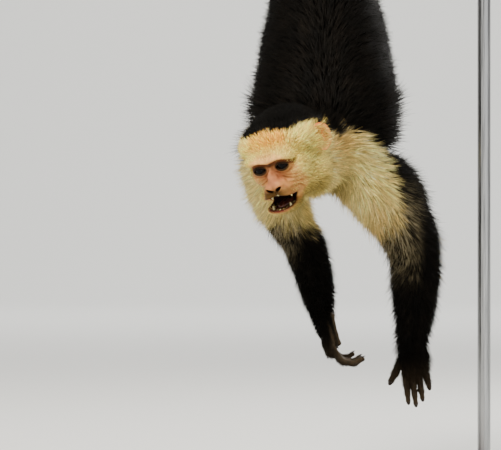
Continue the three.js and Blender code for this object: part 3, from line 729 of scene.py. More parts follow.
CREAM = tint(255, 220, 128)
PALE_CREAM = tint(255, 240, 166)
OCHRE = tint(255, 176, 48)
TAN = tint(182, 126, 52)
OLIVE_SHADE = tint(88, 74, 8)
CHEEK = tint(250, 224, 150)
BLACK = tint(5, 5, 4)
BROWN_TIP = tint(30, 24, 18)
GRIZZLE = tint(198, 182, 142)
FACE_CREAM = tint(204, 156, 84)
FACE_PINK = tint(177, 117, 78)
BROW_PALE_AND_HIGHLIGHT = tint(255, 198, 124)
MUZZLE = tint(120, 86, 46)
NOSE_PATCH_AND_SHADOW = tint(66, 45, 14)
LIP_DARK = tint(92, 40, 34)
EYE_RIM_AND_BROW_SHADOW = tint(26, 21, 12)
SOCKET_SHADE = tint(112, 64, 34)
GUM = tint(80, 26, 24)
DEEP_SHADE = tint(26, 7, 7)
EAR_SKIN = tint(226, 160, 90)
EAR_RIM = tint(206, 104, 58)
HAND_SKIN = tint(64, 55, 42)
PALM_SKIN = tint(72, 59, 43)
BASE_WOOD = tint(104, 69, 44)


def nearest_part(p):
    """The body part that each place belongs to, as its index in PARTS."""
    best = np.full(len(p), 1e6)
    home = np.zeros(len(p), int)
    for i, part in enumerate(PARTS):
        near = np.flatnonzero(((p > part.low - 12) & (p < part.high + 12)).all(axis=1))
        if near.size:
            d = part.distance(p[near])
            closer = d < best[near]
            best[near[closer]] = d[closer]
            home[near[closer]] = i
    return home


def face_bareness(half):
    """1 on the bare face and 0 in the full coat, and how far out the place is: 1 is the face's edge."""
    down = half[:, 2] + 14
    high = np.where(down > 0, 32.0, 35.0)
    wide = 30.0 - np.where(down > 0, 0, 3 * smoothstep(-down, 8, 28))
    reach = ((np.abs(half[:, 1]) / wide) ** 2.4 + (np.abs(down) / high) ** 2.4) ** (1 / 2.4)
    bare = 1 - smoothstep(reach, 0.74, 1.06)
    return np.where(half[:, 0] > -26, bare, 0), reach


# Height of the lower edge of the black back, by the distance from its middle line.
BACK_EDGE = ([0, 8, 24, 40, 53, 62, 74], [360, 357, 357, 353, 345, 336, 322])
# Place across of the black stripe's edge on the left arm, by the height.
STRIPE_EDGE = ([222, 240, 250, 262, 278, 295, 312, 328, 345], [16, 42, 60, 72, 75, 74, 67, 61, 54])
NAPE = 350  # height above which the neck is black
RIGHT_CUFF, RIGHT_SHOULDER = 260, 338  # the right arm is cream between these heights


def black_share(p):
    """1 where the coat is black and 0 where it is cream, at places in its outer layer."""
    wander = ripple(p, 15, 3) * 2.6 + ripple(p, 5, 4) * 1.6
    q = to_head(p)
    home = nearest_part(p)
    back = np.interp(np.abs(p[:, 0] + 2), *BACK_EDGE)
    edge = mix(back, 400.0, smoothstep(p[:, 1], -6, 24) * (1 - smoothstep(np.abs(p[:, 0]), 34, 50)))
    black = smoothstep(p[:, 2] + wander - edge, -5, 4)
    hairline = 36.2 - 3.2 * smoothstep(np.abs(q[:, 1]), 6, 24) + 4 * smoothstep(np.abs(q[:, 1]), 24, 40)
    cap = smoothstep(brow_height(q) - hairline + wander * 0.35, -2, 2)
    head = on(home, "head")
    neck = smoothstep(p[:, 2] + wander - NAPE, -3, 4)
    cap = np.maximum(cap * (np.abs(q[:, 1]) < 60), neck * smoothstep(-q[:, 0], 50, 56))
    black = np.where(head, cap, black)
    black = np.where(on(home, "neck"), neck, black)
    # the left arm: black along its outer side, and all round from the elbow down
    edge = np.interp(p[:, 2], *STRIPE_EDGE)
    soft = 8 + 16 * smoothstep(-p[:, 2], -292, -246)
    stripe = smoothstep((p[:, 0] - edge + wander * 1.3) / soft, -1, 1)
    black = np.where(on(home, "arm_left"), np.maximum(stripe, black), black)
    right = on(home, "arm_right")
    lower = smoothstep(RIGHT_CUFF - p[right, 2] + wander[right] * 1.3, -13, 13)
    upper = smoothstep(p[right, 2] + wander[right] - RIGHT_SHOULDER, -4, 5)
    black[right] = np.maximum(lower, upper)
    return np.where(on(home, "trunk", "neck", "head", "arm_left", "arm_right"), black, 1.0)


def grizzle_share(p, home, black):
    """How much of the black coat has pale tips: where it meets the cream, and inside the forearms."""
    on_left, on_right = on(home, "arm_left"), on(home, "arm_right")
    share = 3.2 * black * (1 - black) * np.where(on_left, 1 - 0.8 * smoothstep(p[:, 2], 256, 286), 1)
    left = smoothstep(p[:, 2], 192, 244) * (1 - smoothstep(p[:, 0], 84, 100))
    left = left * smoothstep(-p[:, 2], -314, -268)
    right = smoothstep(p[:, 2], 206, 262) * (1 - smoothstep(p[:, 0], -40, -18))
    share = share + np.where(on_left, left, 0) + np.where(on_right, right, 0)
    return np.clip(share, 0, 1)


# Soft spots on the cream coat: middle, size, colour, strength. The neck's tan is the coat's own
# colour; the olive spots are painted shade and the shoulder's pale spot is a painted highlight.
COAT_TONE_AND_LIGHT_SPOTS = [
    ([14, -66, 342], [24, 44, 23], TAN, 0.75),  # side of the neck
    ([-34, 22, 285], [30, 34, 44], OLIVE_SHADE, 0.75),  # far arm, painted shade
    ([12, -30, 300], [18, 44, 26], OLIVE_SHADE, 0.9),  # inside of the near arm, painted shade
    ([46, -34, 326], [24, 32, 22], PALE_CREAM, 0.35),  # shoulder, painted highlight
]


def coat_colour(p, black, settings):
    """Colour of the cream or black coat, before each tuft's own shade."""
    q = to_head(p)
    cloud, fine = cloudy(p, 22, 11), cloudy(p, 7, 12)
    cream = mix(np.array(settings.cream), PALE_CREAM, 0.15 + 0.5 * cloud * fine)
    for at, size, colour, strength in COAT_TONE_AND_LIGHT_SPOTS:
        cream = mix(cream, colour, strength * soft_spot(p, at, size))
    elbow = smoothstep(-p[:, 2], -302, -258) * smoothstep(p[:, 0], 36, 52)
    cream = mix(cream, TAN, 0.45 * elbow)
    head = smoothstep(q[:, 0], -70, -45) * (np.abs(q[:, 1]) < 50) * (np.abs(q[:, 2]) < 60)
    middle = 1 - 0.85 * smoothstep(np.abs(q[:, 1] - 3), 15, 27)
    hairline = head * smoothstep(brow_height(q), 12, 26) * middle
    cream = mix(cream, OCHRE, 0.9 * hairline)
    cheek = head * smoothstep(-q[:, 2], -6, 12)
    cream = mix(cream, CHEEK, 0.5 * cheek)
    # painted shade under the head: the lower cheeks and the throat darken to olive, more on the head's left
    # side
    cream = mix(cream, OLIVE_SHADE, 0.75 * head * smoothstep(-q[:, 2], 12, 42) * smoothstep(q[:, 1], -20, 6))
    cream = cream * (1 - head[:, None] * [0.0, 0.06, 0.36])
    dark = mix(np.array(settings.black), BROWN_TIP, (0.22 * cloud + 0.12 * fine) * (1 - 0.7 * head))
    return mix(cream, dark, black)


def bare_hand(p, slope, home):
    """1 on the bare skin of hands and feet, 0 where the coat of the forearms runs on over the wrists."""
    bare = on(home, *FEET).astype(float)
    for name, hand in HANDS.items():
        f, _, palm = hand_frame(hand)
        reach = (p - hand["wrist"]) @ f
        shown = np.maximum(smoothstep(reach, 2, 36), smoothstep(slope @ palm, 0, 0.6))
        bare = np.where(on(home, name), shown, bare)
    return bare


def skin_colour(p, slope, settings):
    """Colour of the bare skin, and of the skin that shows between tufts."""
    black = black_share(p + slope * 4)
    home = nearest_part(p)
    head = on(home, "head")
    # the skin that shows between the tufts is a darker copy of the coat's colour: painted shade among the
    # tufts
    under = mix(np.where(head, 0.7, 0.5), 0.8, black)
    colour = coat_colour(p, black, settings) * under[:, None]
    q = mirror_half(to_head(p))
    bare = face_bareness(q)[0] * head
    blotch = cloudy(p, 6, 21)
    middle = np.exp(-((q[:, 1] / 13) ** 2 + ((q[:, 2] + 9) / 15) ** 2))
    face = mix(FACE_CREAM, FACE_PINK, np.clip(0.25 + 0.85 * middle, 0, 1))
    # the pale brow ridge: partly its own pale skin and partly a painted highlight
    face = mix(face, BROW_PALE_AND_HIGHLIGHT, np.exp(-(((q[:, 2] - 9) / 5) ** 2 + ((q[:, 1] - 12) / 13) ** 2)))
    face = mix(face, OCHRE * [1, 0.95, 1], 0.55 * smoothstep(q[:, 2], 13, 20))
    face = mix(face, MUZZLE, 0.75 * soft_spot(q, [2, 8, -25], [18, 16, 8]))
    face = mix(face, FACE_PINK * [0.84, 0.66, 0.62], 0.3 * blotch)
    # painted shade in the folds of the face: the skin darkens with each fold's depth
    fold = crease_depth(q)
    face = face * (1 - 0.5 * np.clip(fold, 0, 1)[:, None] * [0.75, 1, 1.1])
    # painted shadow under the brow, along its deepest fold above the lids; the same dark also colours the
    # lids' own rims below
    brow_shadow = smoothstep(fold, 0.5, 1.15)
    face = mix(face, EYE_RIM_AND_BROW_SHADOW * 1.4, 0.92 * brow_shadow)
    eye = q - EYE["at"]
    ring = np.sqrt((eye[:, 1] / 7.4) ** 2 + (eye[:, 2] / 4.5) ** 2)
    # painted shade of the eye sockets: a dark ring around each eye and a patch above it
    face = mix(face, SOCKET_SHADE, 0.6 * np.exp(-(((ring - 1.4) / 0.35) ** 2)))
    socket_shade = np.exp(-((eye[:, 1] / 8.5) ** 2 + ((eye[:, 2] - 3) / 3.4) ** 2))
    face = mix(face, SOCKET_SHADE, 0.75 * socket_shade)
    face = mix(face, EYE_RIM_AND_BROW_SHADOW, 0.95 * (1 - smoothstep(ring, 0.92, 1.25)))
    mouth = ellipsoid(q, MOUTH["at"], MOUTH["size"])
    lower = smoothstep(-q[:, 2], 34, 38)
    lip = mix(0.5, 0.9, lower) * np.exp(-(((mouth - 0.5) / mix(1.2, 1.8, lower)) ** 2))
    face = mix(face, LIP_DARK, lip * smoothstep(q[:, 0], -16, -6))
    # the inside of the mouth: the gums' dark red, going over into painted shade further in
    inside = smoothstep(-mouth, -0.8, -0.1)
    face = mix(face, mix(GUM, DEEP_SHADE, smoothstep(-q[:, 0], -2, 9)), inside)
    # a dark patch under the nose and over the upper lip: partly the skin's own grey-brown and partly
    # painted shadow
    whole = to_head(p)
    nose_patch_and_shadow = 1.6 * soft_spot(whole, [6, -5, -24.5], [16, 12, 5])
    nose_patch_and_shadow = nose_patch_and_shadow + 0.55 * soft_spot(whole, [6, 10, -24.5], [14, 11, 4])
    face = mix(face, NOSE_PATCH_AND_SHADOW, 0.93 * np.minimum(nose_patch_and_shadow, 1))
    # painted shade inside the nostrils
    face = mix(face, DEEP_SHADE * 0.6, 1 - smoothstep(nostril(q), -0.1, 0.5))
    colour = mix(colour, face, smoothstep(bare, 0.1, 0.9))
    ear = ear_distance(q)
    on_ear = (1 - smoothstep(ear, 0.6, 2.0)) * head
    local = ear_frame(q)
    # painted shade in the ear's hollow: its skin goes darker and browner there
    hollow = smoothstep(-ellipsoid(local, [0.6, 2.6, 0.8], [7.4, 3.4, 11]), -1, 1)
    ear_skin = mix(EAR_SKIN, EAR_SKIN * [0.82, 0.6, 0.5], hollow * (0.5 + 0.5 * blotch))
    ear_skin = mix(ear_skin, EAR_RIM, 0.8 * smoothstep(ear_rim(local), 0.86, 0.98))
    colour = mix(colour, ear_skin, on_ear)
    hand = mix(np.array(settings.hands), PALM_SKIN, blotch)
    return mix(colour, hand, bare_hand(p, slope, home))


# ---------------------------------------------------------------- the coat
NOSE = np.array([10.0, 0.0, -18.0])
NECK_ROOT = np.array([0.0, -55.0, 345.0])
# How long the tufts are against the depth of the coat, how many grow on a square
# millimetre, and how wide they are, for each part of the body.
TUFT = {
    "trunk": (1.75, 0.66, 1.1), "neck": (1.4, 1.5, 0.75), "head": (1.25, 2.8, 0.45),
    "arm_left": (1.6, 1.7, 0.78), "arm_right": (1.6, 1.9, 0.72),
    "leg_left": (1.65, 0.55, 0.9), "leg_right": (1.65, 0.55, 0.9), "tail": (1.5, 0.6, 0.85),
    "hand_left": (2.3, 2.2, 0.42), "hand_right": (2.3, 2.2, 0.42),
    "foot_left": (1.9, 0.7, 0.5), "foot_right": (1.9, 0.7, 0.5),
}
CURVED, CURVED_LENGTH = 0.16, 4.6  # share of the tufts that bend, with more faces, and the shortest of them
SHORTEST, SHORTEST_ON_HEAD = 1.6, 2.9
LOOSE = 0.12  # share of the tufts that stand out from the rest
# Tufts gather into locks: on which parts, how far apart, how strongly, and how much their shades differ.
LOCKS = [
    (("trunk", "neck", "arm_left", "arm_right", "leg_left", "leg_right", "tail"), 2.4, 0.6, 0.3),
    (("head",), 1.7, 0.6, 0.28),
]
# The two kinds of tuft: faces over its rows of places, each place's shade against the tuft's own
# colour, and its share of the colour of the tips. The darker roots are partly the hair's own colour
# and partly painted shade among the tufts.
SHORT_TUFT = {
    "faces": [(0, 1, 3), (1, 2, 3), (2, 0, 3), (2, 1, 0)],
    "shade": [0.56] * 3 + [1.44],
    "tip": [0.0] * 3 + [0.8],
}
LONG_TUFT = {
    "faces": [(0, 1, 4, 3), (1, 2, 5, 4), (2, 0, 3, 5), (3, 4, 6), (4, 5, 6), (5, 3, 6), (2, 1, 0)],
    "shade": [0.52] * 3 + [1.0] * 3 + [1.4],
    "tip": [0.0] * 6 + [1.0],
}
UV_PATCH = 0.0026  # how wide one tuft is on the coat's map


def coat_depth(p, home):
    """Depth of the coat, each tuft's lie before it is laid flat, and its place on the unwrap."""
    depth = np.zeros(len(p))
    lie = np.zeros((len(p), 3))
    unwrap = np.zeros((len(p), 2))
    for i, part in enumerate(PARTS):
        own = np.flatnonzero(home == i)
        if not own.size:
            continue
        tile = np.array([i % 4, i // 4])
        at = p[own]
        if part.name == "head":
            half = mirror_half(to_head(at))
            q = to_head(at)
            far = (half - HEAD_COAT["at"]) / HEAD_COAT["stretch"]
            share = smoothstep(np.linalg.norm(far, axis=1), HEAD_COAT["inner"], HEAD_COAT["outer"])
            depth[own] = HEAD_COAT["face"] + (HEAD_COAT["full"] - HEAD_COAT["face"]) * share
            way = q - NOSE  # the hair of the face runs away from the nose
            way[:, 2] -= np.where(q[:, 2] < 0, 10, 0)
            lie[own] = way @ HEAD_AXES
            turn = np.arctan2(q[:, 1], q[:, 2] + 4) / (2 * math.pi) + 0.5
            tilt = np.arctan2(np.hypot(q[:, 1], q[:, 2] + 4), q[:, 0] + 30) / math.pi
            unwrap[own] = (tile + 0.04 + 0.92 * np.column_stack([turn, tilt])) / [4, 3]
            continue
        share, along, coat, turn = part.locate(at)
        depth[own] = coat
        lie[own] = along
        if part.name == "neck":
            lie[own] = -along + unit(at - NECK_ROOT) * 0.3
        if part.name in ("trunk", "arm_left", "arm_right"):
            radial = unit(at - NECK_ROOT)
            if part.name == "trunk":
                sideways = np.zeros_like(at)
                sideways[:, 0] = np.tanh(at[:, 0] / 26)
                sideways[:, 2] = 0.15 + 0.6 * np.exp(-((at[:, 0] / 24) ** 2))
                sideways[:, 1] = 0.1
                lie[own] = mix(sideways, radial, smoothstep(-at[:, 2], -412, -355))
            else:
                lie[own] = mix(along, radial, smoothstep(at[:, 2], 236, 290))
        unwrap[own] = (tile + 0.04 + 0.92 * np.column_stack([turn / (2 * math.pi) + 0.5, share])) / [4, 3]
    return depth, lie, unwrap


def tuft_density(p, slope, home):
    """Tufts on a square millimetre at each place, and a factor on their length."""
    density = np.array([TUFT[name][1] for name in PART_NAMES])[home]
    scale = np.ones(len(p))
    half = mirror_half(to_head(p))
    bare, reach = face_bareness(half)
    on_head = on(home, "head")
    front = smoothstep(half[:, 0], -34, -20)
    down = smoothstep(half[:, 1], 13, 19) + smoothstep(half[:, 2], 6, 10)
    eye = half - EYE["at"]
    clear = smoothstep(np.hypot(eye[:, 1] / 12, eye[:, 2] / 7.5), 0.85, 1.2)
    clear = clear * smoothstep(ellipsoid(half, MOUTH["at"], MOUTH["size"]), 2.2, 4.5)
    fuzz = 0.3 * front * np.minimum(down, 1) * smoothstep(half[:, 2], -30, -24) * clear
    density = np.where(on_head, density * np.maximum(1 - bare, fuzz), density)
    scale = np.where(on_head, mix(1.0, 0.32 + 0.68 * smoothstep(reach, 1.0, 1.7), front), scale)
    side = soft_spot(half, [-37, 36, -1], [7, 9, 11])
    temple = front * soft_spot(half, [-20, 31, 15], [11, 10, 10])
    crown = smoothstep(brow_height(half), 33, 38)
    scale = np.where(on_head, scale * (1 + 0.4 * temple + 0.9 * side) * (1 - 0.3 * crown), scale)
    flank = on(home, "trunk", "arm_right") & (p[:, 2] < 384) & (p[:, 2] > 338) & (np.abs(p[:, 0]) > 38)
    scale = np.where(flank, 1.4, scale)
    on_ear = on_head & (ear_distance(half) < 1.6)
    local = ear_frame(half)
    rim = smoothstep(ear_rim(local), 0.7, 0.92)
    behind = local[:, 1] < 0.4
    top = smoothstep(local[:, 2], 9, 14)
    thin = np.where(behind, 0.4, 0.03 + (0.3 + 0.5 * top) * (1 - rim))
    density = np.where(on_ear, density * thin, density)
    scale = np.where(on_ear, 0.5 + 0.7 * top, scale)
    for name, hand in HANDS.items():
        f, _, palm = hand_frame(hand)
        reach = (p - hand["wrist"]) @ f
        back = smoothstep(-(slope @ palm), -0.45, 0.2)
        density = np.where(on(home, name), density * back * (1 - smoothstep(reach, 30, 66)), density)
    out = np.hypot(p[:, 1] - PERCH["y"], p[:, 2] - PERCH["z"]) - PERCH["radius"]
    density = np.where(on(home, *FEET), density * smoothstep(out, 8, 14), density)
    return density, scale


def scatter(points, quads, slope, share, rng):
    """Even but irregular tuft roots over the skin."""
    home = nearest_part(points)
    density, scale = tuft_density(points, slope, home)
    corners = points[quads]
    crossed = np.cross(corners[:, 2] - corners[:, 0], corners[:, 3] - corners[:, 1])
    area = 0.5 * np.linalg.norm(crossed, axis=1)
    weight = area * density[quads].mean(axis=1) * share
    ladder = np.cumsum(weight)
    count = int(ladder[-1])
    order = np.searchsorted(ladder, (np.arange(count) + rng.rand(count)) * ladder[-1] / count)
    order = np.minimum(order, len(quads) - 1)
    u, v = rng.rand(2, count, 1)

    def spread(values):
        c = values[quads[order]]
        if c.ndim == 2:
            c = c[:, :, None]
        return (c[:, 0] * (1 - u) + c[:, 1] * u) * (1 - v) + (c[:, 3] * (1 - u) + c[:, 2] * u) * v

    return spread(points), unit(spread(slope)), spread(scale)[:, 0]


def gather_locks(root, tip, way_length, spacing, pull, rng):
    """Draws the tips of neighbouring tufts together, as hair gathers into locks."""
    cell = np.floor(root / spacing).astype(int)
    _, first = np.unique(cell, axis=0, return_index=True)
    first = first[rng.rand(len(first)) < 0.9]
    tree = kdtree.KDTree(len(first))
    for i, k in enumerate(first):
        tree.insert(root[k], i)
    tree.balance()
    owner = np.array([tree.find(r)[1] for r in root])
    lead = first[owner]
    offset = tip[lead] - root[lead]
    target = root[lead] + offset * (way_length / np.maximum(way_length[lead], 1e-6))[:, None]
    gap = np.linalg.norm(target - tip, axis=1)
    strength = pull * (1 - smoothstep(gap, spacing * 1.6, spacing * 3.5))
    return tip + (target - tip) * strength[:, None], owner


class Tufts:
    """Everything that the tufts' meshes need, one row for each tuft."""

    def __init__(self, points, quads, slope, settings):
        rng = np.random.RandomState(SEED)
        share = settings.fullness * 1.0
        root, normal, scale = scatter(points, quads, slope, share, rng)
        n = len(root)
        home = nearest_part(root)
        depth, lie, self.unwrap = coat_depth(root, home)
        ratio = np.array([TUFT[name][0] for name in PART_NAMES])[home]
        wide = np.array([TUFT[name][2] for name in PART_NAMES])[home]
        on_head = on(home, "head")
        depth = depth * scale
        length = depth * ratio * rng.uniform(0.82, 1.12, n) * settings.length
        length = np.maximum(length, np.where(on_head, SHORTEST_ON_HEAD, SHORTEST))
        height = np.minimum(depth * rng.uniform(0.75, 1.2, n), length * 0.95)
        loose = 1 + (rng.rand(n) < LOOSE) * np.where(on(home, "trunk"), 0.2, 0.4) * ~on_head
        length, height = length * loose, height * loose
        flat = lie - dot(lie, normal)[:, None] * normal
        weak = np.linalg.norm(flat, axis=1) / np.maximum(np.linalg.norm(lie, axis=1), 1e-6)
        waves = np.stack([ripple(root, 26, seed) for seed in (31, 32, 33)], axis=1)
        stray = rng.normal(size=(n, 3)) * 0.2 + waves * 0.16
        stray = stray + np.array([0, 0, -0.25]) * (1 - smoothstep(weak, 0.1, 0.5))[:, None]
        flat = flat / np.maximum(np.linalg.norm(lie, axis=1, keepdims=True), 1e-6) + stray
        flat = unit(flat - dot(flat, normal)[:, None] * normal)
        rise = height / length
        run = np.sqrt(np.maximum(1 - rise**2, 0.02))
        tip = root + length[:, None] * (flat * run[:, None] + normal * rise[:, None])
        lock_shade = np.ones(n)
        for parts, spacing, pull, spread in LOCKS:
            own = on(home, *parts)
            tip[own], owner = gather_locks(root[own], tip[own], length[own], spacing, pull, rng)
            lock_shade[own] = np.exp(rng.normal(size=owner.max() + 1) * spread)[owner]
        middle = (root + tip) / 2 + normal * (length * 0.09)[:, None]
        sink = np.minimum(0.6, length * 0.1)
        self.root = root - normal * sink[:, None]
        self.middle, self.tip, self.normal = middle, tip, normal
        self.wide = wide * rng.uniform(0.8, 1.25, n) * (0.45 + 0.55 * np.minimum(length / 6, 1))
        outer = root * 0.3 + tip * 0.7
        black = black_share(outer)
        light = np.log(lock_shade) / 0.3 + rng.normal(size=n) * 0.7
        self.pale = grizzle_share(outer, home, black) * smoothstep(light, -0.5, 0.9)
        black = np.clip(0.5 + 2.4 * (black - 0.5) + rng.normal(size=n) * 3.4 * black * (1 - black), 0, 1)
        colour = coat_colour(outer, black, settings)
        colour = mix(colour, np.array(settings.hands), 0.6 * bare_hand(root, normal, home))
        colour = mix(colour, GRIZZLE * 0.6, 0.6 * self.pale)
        shade = np.exp(rng.normal(size=(n, 1)) * 0.3) * lock_shade[:, None]
        warm = rng.normal(size=(n, 1)) * [0.02, 0.0, -0.04]
        self.colour = np.clip(colour * shade * (1 + warm), 0, 1)
        self.black, self.home = black, home
        self.long = (length > CURVED_LENGTH) & (rng.rand(n) < CURVED)


def paint(mesh, colours):
    """Gives a mesh its markings, one colour for each vertex."""
    layer = mesh.color_attributes.new("Markings", "FLOAT_COLOR", "POINT")
    rgba = np.ones((len(colours), 4), np.float32)
    rgba[:, :3] = colours
    layer.data.foreach_set("color", rgba.ravel())


def tuft_mesh(tufts, pick, kind, name):
    """One joined mesh of the picked tufts: slim three-sided locks that end in a point."""
    root, middle, tip, normal = (a[pick] for a in (tufts.root, tufts.middle, tufts.tip, tufts.normal))
    wide, colour, black, unwrap = (a[pick] for a in (tufts.wide, tufts.colour, tufts.black, tufts.unwrap))
    n = len(root)
    way = unit(tip - root)
    side = unit(np.cross(way, normal))
    top = np.cross(side, way)
    half = (wide / 2)[:, None]
    rows = [root - side * half, root + side * half, root + top * half * 0.9]
    if kind is LONG_TUFT:
        slim = half * 0.82
        rows += [middle - side * slim, middle + side * slim, middle + top * slim * 0.8]
    rows.append(tip)
    faces, shade, pale = kind["faces"], np.array(kind["shade"]), np.array(kind["tip"])
    per = len(rows)
    places = np.stack(rows, axis=1)
    grizzle = tufts.pale[pick] * black
    tips = mix(mix(PALE_CREAM, BROWN_TIP, black), GRIZZLE, grizzle)
    colours = colour[:, None, :] * shade[None, :, None]
    strength = np.maximum(mix(0.25, 0.12, black), grizzle)
    colours = colours + (tips[:, None, :] - colours) * (pale[None, :, None] * strength[:, None, None])
    spots = UV_PATCH * np.column_stack([np.linspace(-0.5, 0.5, per), (np.arange(per) % 3) / 2 - 0.5])
    uvs = unwrap[:, None, :] + spots[None]
    mesh = bpy.data.meshes.new(name)
    mesh.vertices.add(n * per)
    mesh.vertices.foreach_set("co", world(places).astype(np.float32).ravel())
    sizes = np.array([len(f) for f in faces])
    loops = np.concatenate([np.array(f) for f in faces])
    all_loops = (np.arange(n)[:, None] * per + loops[None]).ravel()
    starts = np.r_[0, np.cumsum(sizes)[:-1]]
    all_starts = (np.arange(n)[:, None] * len(loops) + starts[None]).ravel()
    mesh.loops.add(len(all_loops))
    mesh.loops.foreach_set("vertex_index", all_loops.astype(np.int32))
    mesh.polygons.add(n * len(faces))
    mesh.polygons.foreach_set("loop_start", all_starts.astype(np.int32))
    mesh.polygons.foreach_set("loop_total", np.tile(sizes, n).astype(np.int32))
    mesh.update(calc_edges=True)
    paint(mesh, colours.reshape(-1, 3))
    uv = mesh.uv_layers.new(name="OFBake")
    uv.data.foreach_set("uv", uvs.reshape(-1, 2)[all_loops].astype(np.float32).ravel())
    mesh.shade_smooth()
    return mesh


# ---------------------------------------------------------------- materials
class Shader:
    """Builds one material's nodes around its surface."""

    def __init__(self, name, roughness=0.5, **surface):
        self.material = bpy.data.materials.get(name) or bpy.data.materials.new(name)
        self.material.use_nodes = True
        self.nodes, self.links = self.material.node_tree.nodes, self.material.node_tree.links
        self.nodes.clear()
        self.surface = self.add("ShaderNodeBsdfPrincipled", Roughness=roughness, **surface)
        output = self.add("ShaderNodeOutputMaterial")
        self.links.new(self.surface.outputs["BSDF"], output.inputs["Surface"])
        self.place = self.add("ShaderNodeTexCoord").outputs["Object"]

    def add(self, kind, **inputs):
        node = self.nodes.new(kind)
        for key, value in inputs.items():
            self.set(node, key.replace("_", " "), value)
        return node

    def set(self, node, key, value):
        if hasattr(value, "is_output"):
            self.links.new(value, node.inputs[key])
        elif isinstance(value, np.ndarray) and len(value) == 3:
            node.inputs[key].default_value = (*value, 1)
        else:
            node.inputs[key].default_value = value

    def noise(self, scale, detail=3, stretch=None, rough=0.55):
        place = self.place
        if stretch is not None:
            place = self.add("ShaderNodeMapping", Vector=place, Scale=stretch).outputs["Vector"]
        node = self.add("ShaderNodeTexNoise", Vector=place, Scale=scale, Detail=detail, Roughness=rough)
        return node.outputs["Fac"]

    def cells(self, scale, feature="DISTANCE_TO_EDGE"):
        node = self.add("ShaderNodeTexVoronoi", Vector=self.place, Scale=scale)
        node.feature = feature
        return node.outputs["Distance"]

    def ramp(self, factor, stops):
        node = self.add("ShaderNodeValToRGB", Fac=factor)
        elements = node.color_ramp.elements
        for i, (at, colour) in enumerate(stops):
            element = elements[i] if i < 2 else elements.new(at)
            element.position = at
            element.color = (*colour, 1) if np.ndim(colour) else (colour, colour, colour, 1)
        return node.outputs["Color"]

    def blend(self, factor, a, b, mode="MIX"):
        node = self.nodes.new("ShaderNodeMix")
        node.data_type, node.blend_type = "RGBA", mode
        for k, value in ((0, factor), (6, a), (7, b)):
            if hasattr(value, "is_output"):
                self.links.new(value, node.inputs[k])
            else:
                node.inputs[k].default_value = (*value, 1) if np.ndim(value) else value
        return node.outputs[2]

    def painted(self):
        node = self.nodes.new("ShaderNodeAttribute")
        node.attribute_name = "Markings"
        return node.outputs["Color"]

    def bump(self, height, strength, depth, under=None):
        node = self.add("ShaderNodeBump", Height=height, Strength=strength, Distance=depth)
        if under is not None:
            self.links.new(under, node.inputs["Normal"])
        self.links.new(node.outputs["Normal"], self.surface.inputs["Normal"])
        return node.outputs["Normal"]

    def colour(self, value):
        self.links.new(value, self.surface.inputs["Base Color"])

    def roughness(self, factor, low, high):
        self.links.new(self.ramp(factor, [(0.3, low), (0.7, high)]), self.surface.inputs["Roughness"])


def coat_material():
    m = Shader("tufted_coat", 0.62, Specular_IOR_Level=0.07)
    strand = m.noise(900, 2, (1, 1, 0.25))
    m.colour(m.blend(0.35, m.painted(), m.ramp(strand, [(0.3, 0.45), (0.7, 1.3)]), "MULTIPLY"))
    m.roughness(m.noise(60), 0.5, 0.72)
    m.bump(strand, 0.35, 0.0006)
    return m.material


def skin_material():
    m = Shader("body_skin", 0.5, Specular_IOR_Level=0.07)
    m.surface.inputs["Subsurface Weight"].default_value = 0.07
    m.surface.inputs["Subsurface Radius"].default_value = (1.0, 0.35, 0.2)
    m.surface.inputs["Subsurface Scale"].default_value = 0.0025
    mottle = m.noise(260, 4)
    m.colour(m.blend(0.4, m.painted(), m.ramp(mottle, [(0.3, 0.72), (0.7, 1.18)]), "MULTIPLY"))
    m.roughness(m.noise(180), 0.42, 0.62)
    pores = m.bump(m.cells(900), 0.25, 0.0004)
    m.bump(m.noise(420, 4), 0.5, 0.0006, pores)
    return m.material


def ivory_material():
    m = Shader("ivory_teeth", 0.22, Coat_Weight=0.3)
    m.colour(m.ramp(m.noise(300, 3, (1, 1, 0.4)), [(0.3, tint(178, 158, 96)), (0.75, tint(228, 214, 158))]))
    m.roughness(m.noise(500), 0.16, 0.3)
    m.bump(m.noise(700, 2, (1, 1, 0.2)), 0.15, 0.0002)
    return m.material


def tongue_material():
    m = Shader("wet_tongue", 0.4, Coat_Weight=0.12)
    # the tongue's red, darkened as painted shade inside the mouth
    m.colour(m.ramp(m.noise(220), [(0.3, tint(50, 21, 16)), (0.7, tint(84, 40, 30))]))
    m.roughness(m.noise(300), 0.2, 0.4)
    m.bump(m.cells(1100), 0.4, 0.0004)
    return m.material


def eye_material():
    m = Shader("wet_eye", 0.08, Specular_IOR_Level=0.06)
    m.colour(m.blend(0.5, m.painted(), m.ramp(m.noise(900, 2), [(0.3, 0.6), (0.7, 1.2)]), "MULTIPLY"))
    m.roughness(m.noise(400), 0.05, 0.12)
    return m.material


def nail_material():
    m = Shader("dark_nails", 0.3)
    m.colour(m.ramp(m.noise(500, 3, (1, 1, 0.3)), [(0.3, tint(24, 19, 16)), (0.75, tint(48, 39, 33))]))
    m.roughness(m.noise(400), 0.22, 0.4)
    m.bump(m.noise(1500, 2, (1, 1, 0.1)), 0.25, 0.0002)
    return m.material


def bark_material():
    m = Shader("branch_bark", 0.8)
    grain = m.noise(70, 6, (0.22, 1, 1), 0.65)
    tone = m.ramp(grain, [(0.28, tint(58, 44, 33)), (0.72, tint(150, 126, 98))])
    lichen = m.ramp(m.noise(38, 5), [(0.55, 0.0), (0.7, 1.0)])
    m.colour(m.blend(lichen, tone, tint(150, 152, 128)))
    m.roughness(m.noise(90), 0.72, 0.92)
    crack = m.bump(grain, 0.8, 0.0025)
    m.bump(m.noise(420, 5, (0.4, 1, 1)), 0.4, 0.0008, crack)
    return m.material


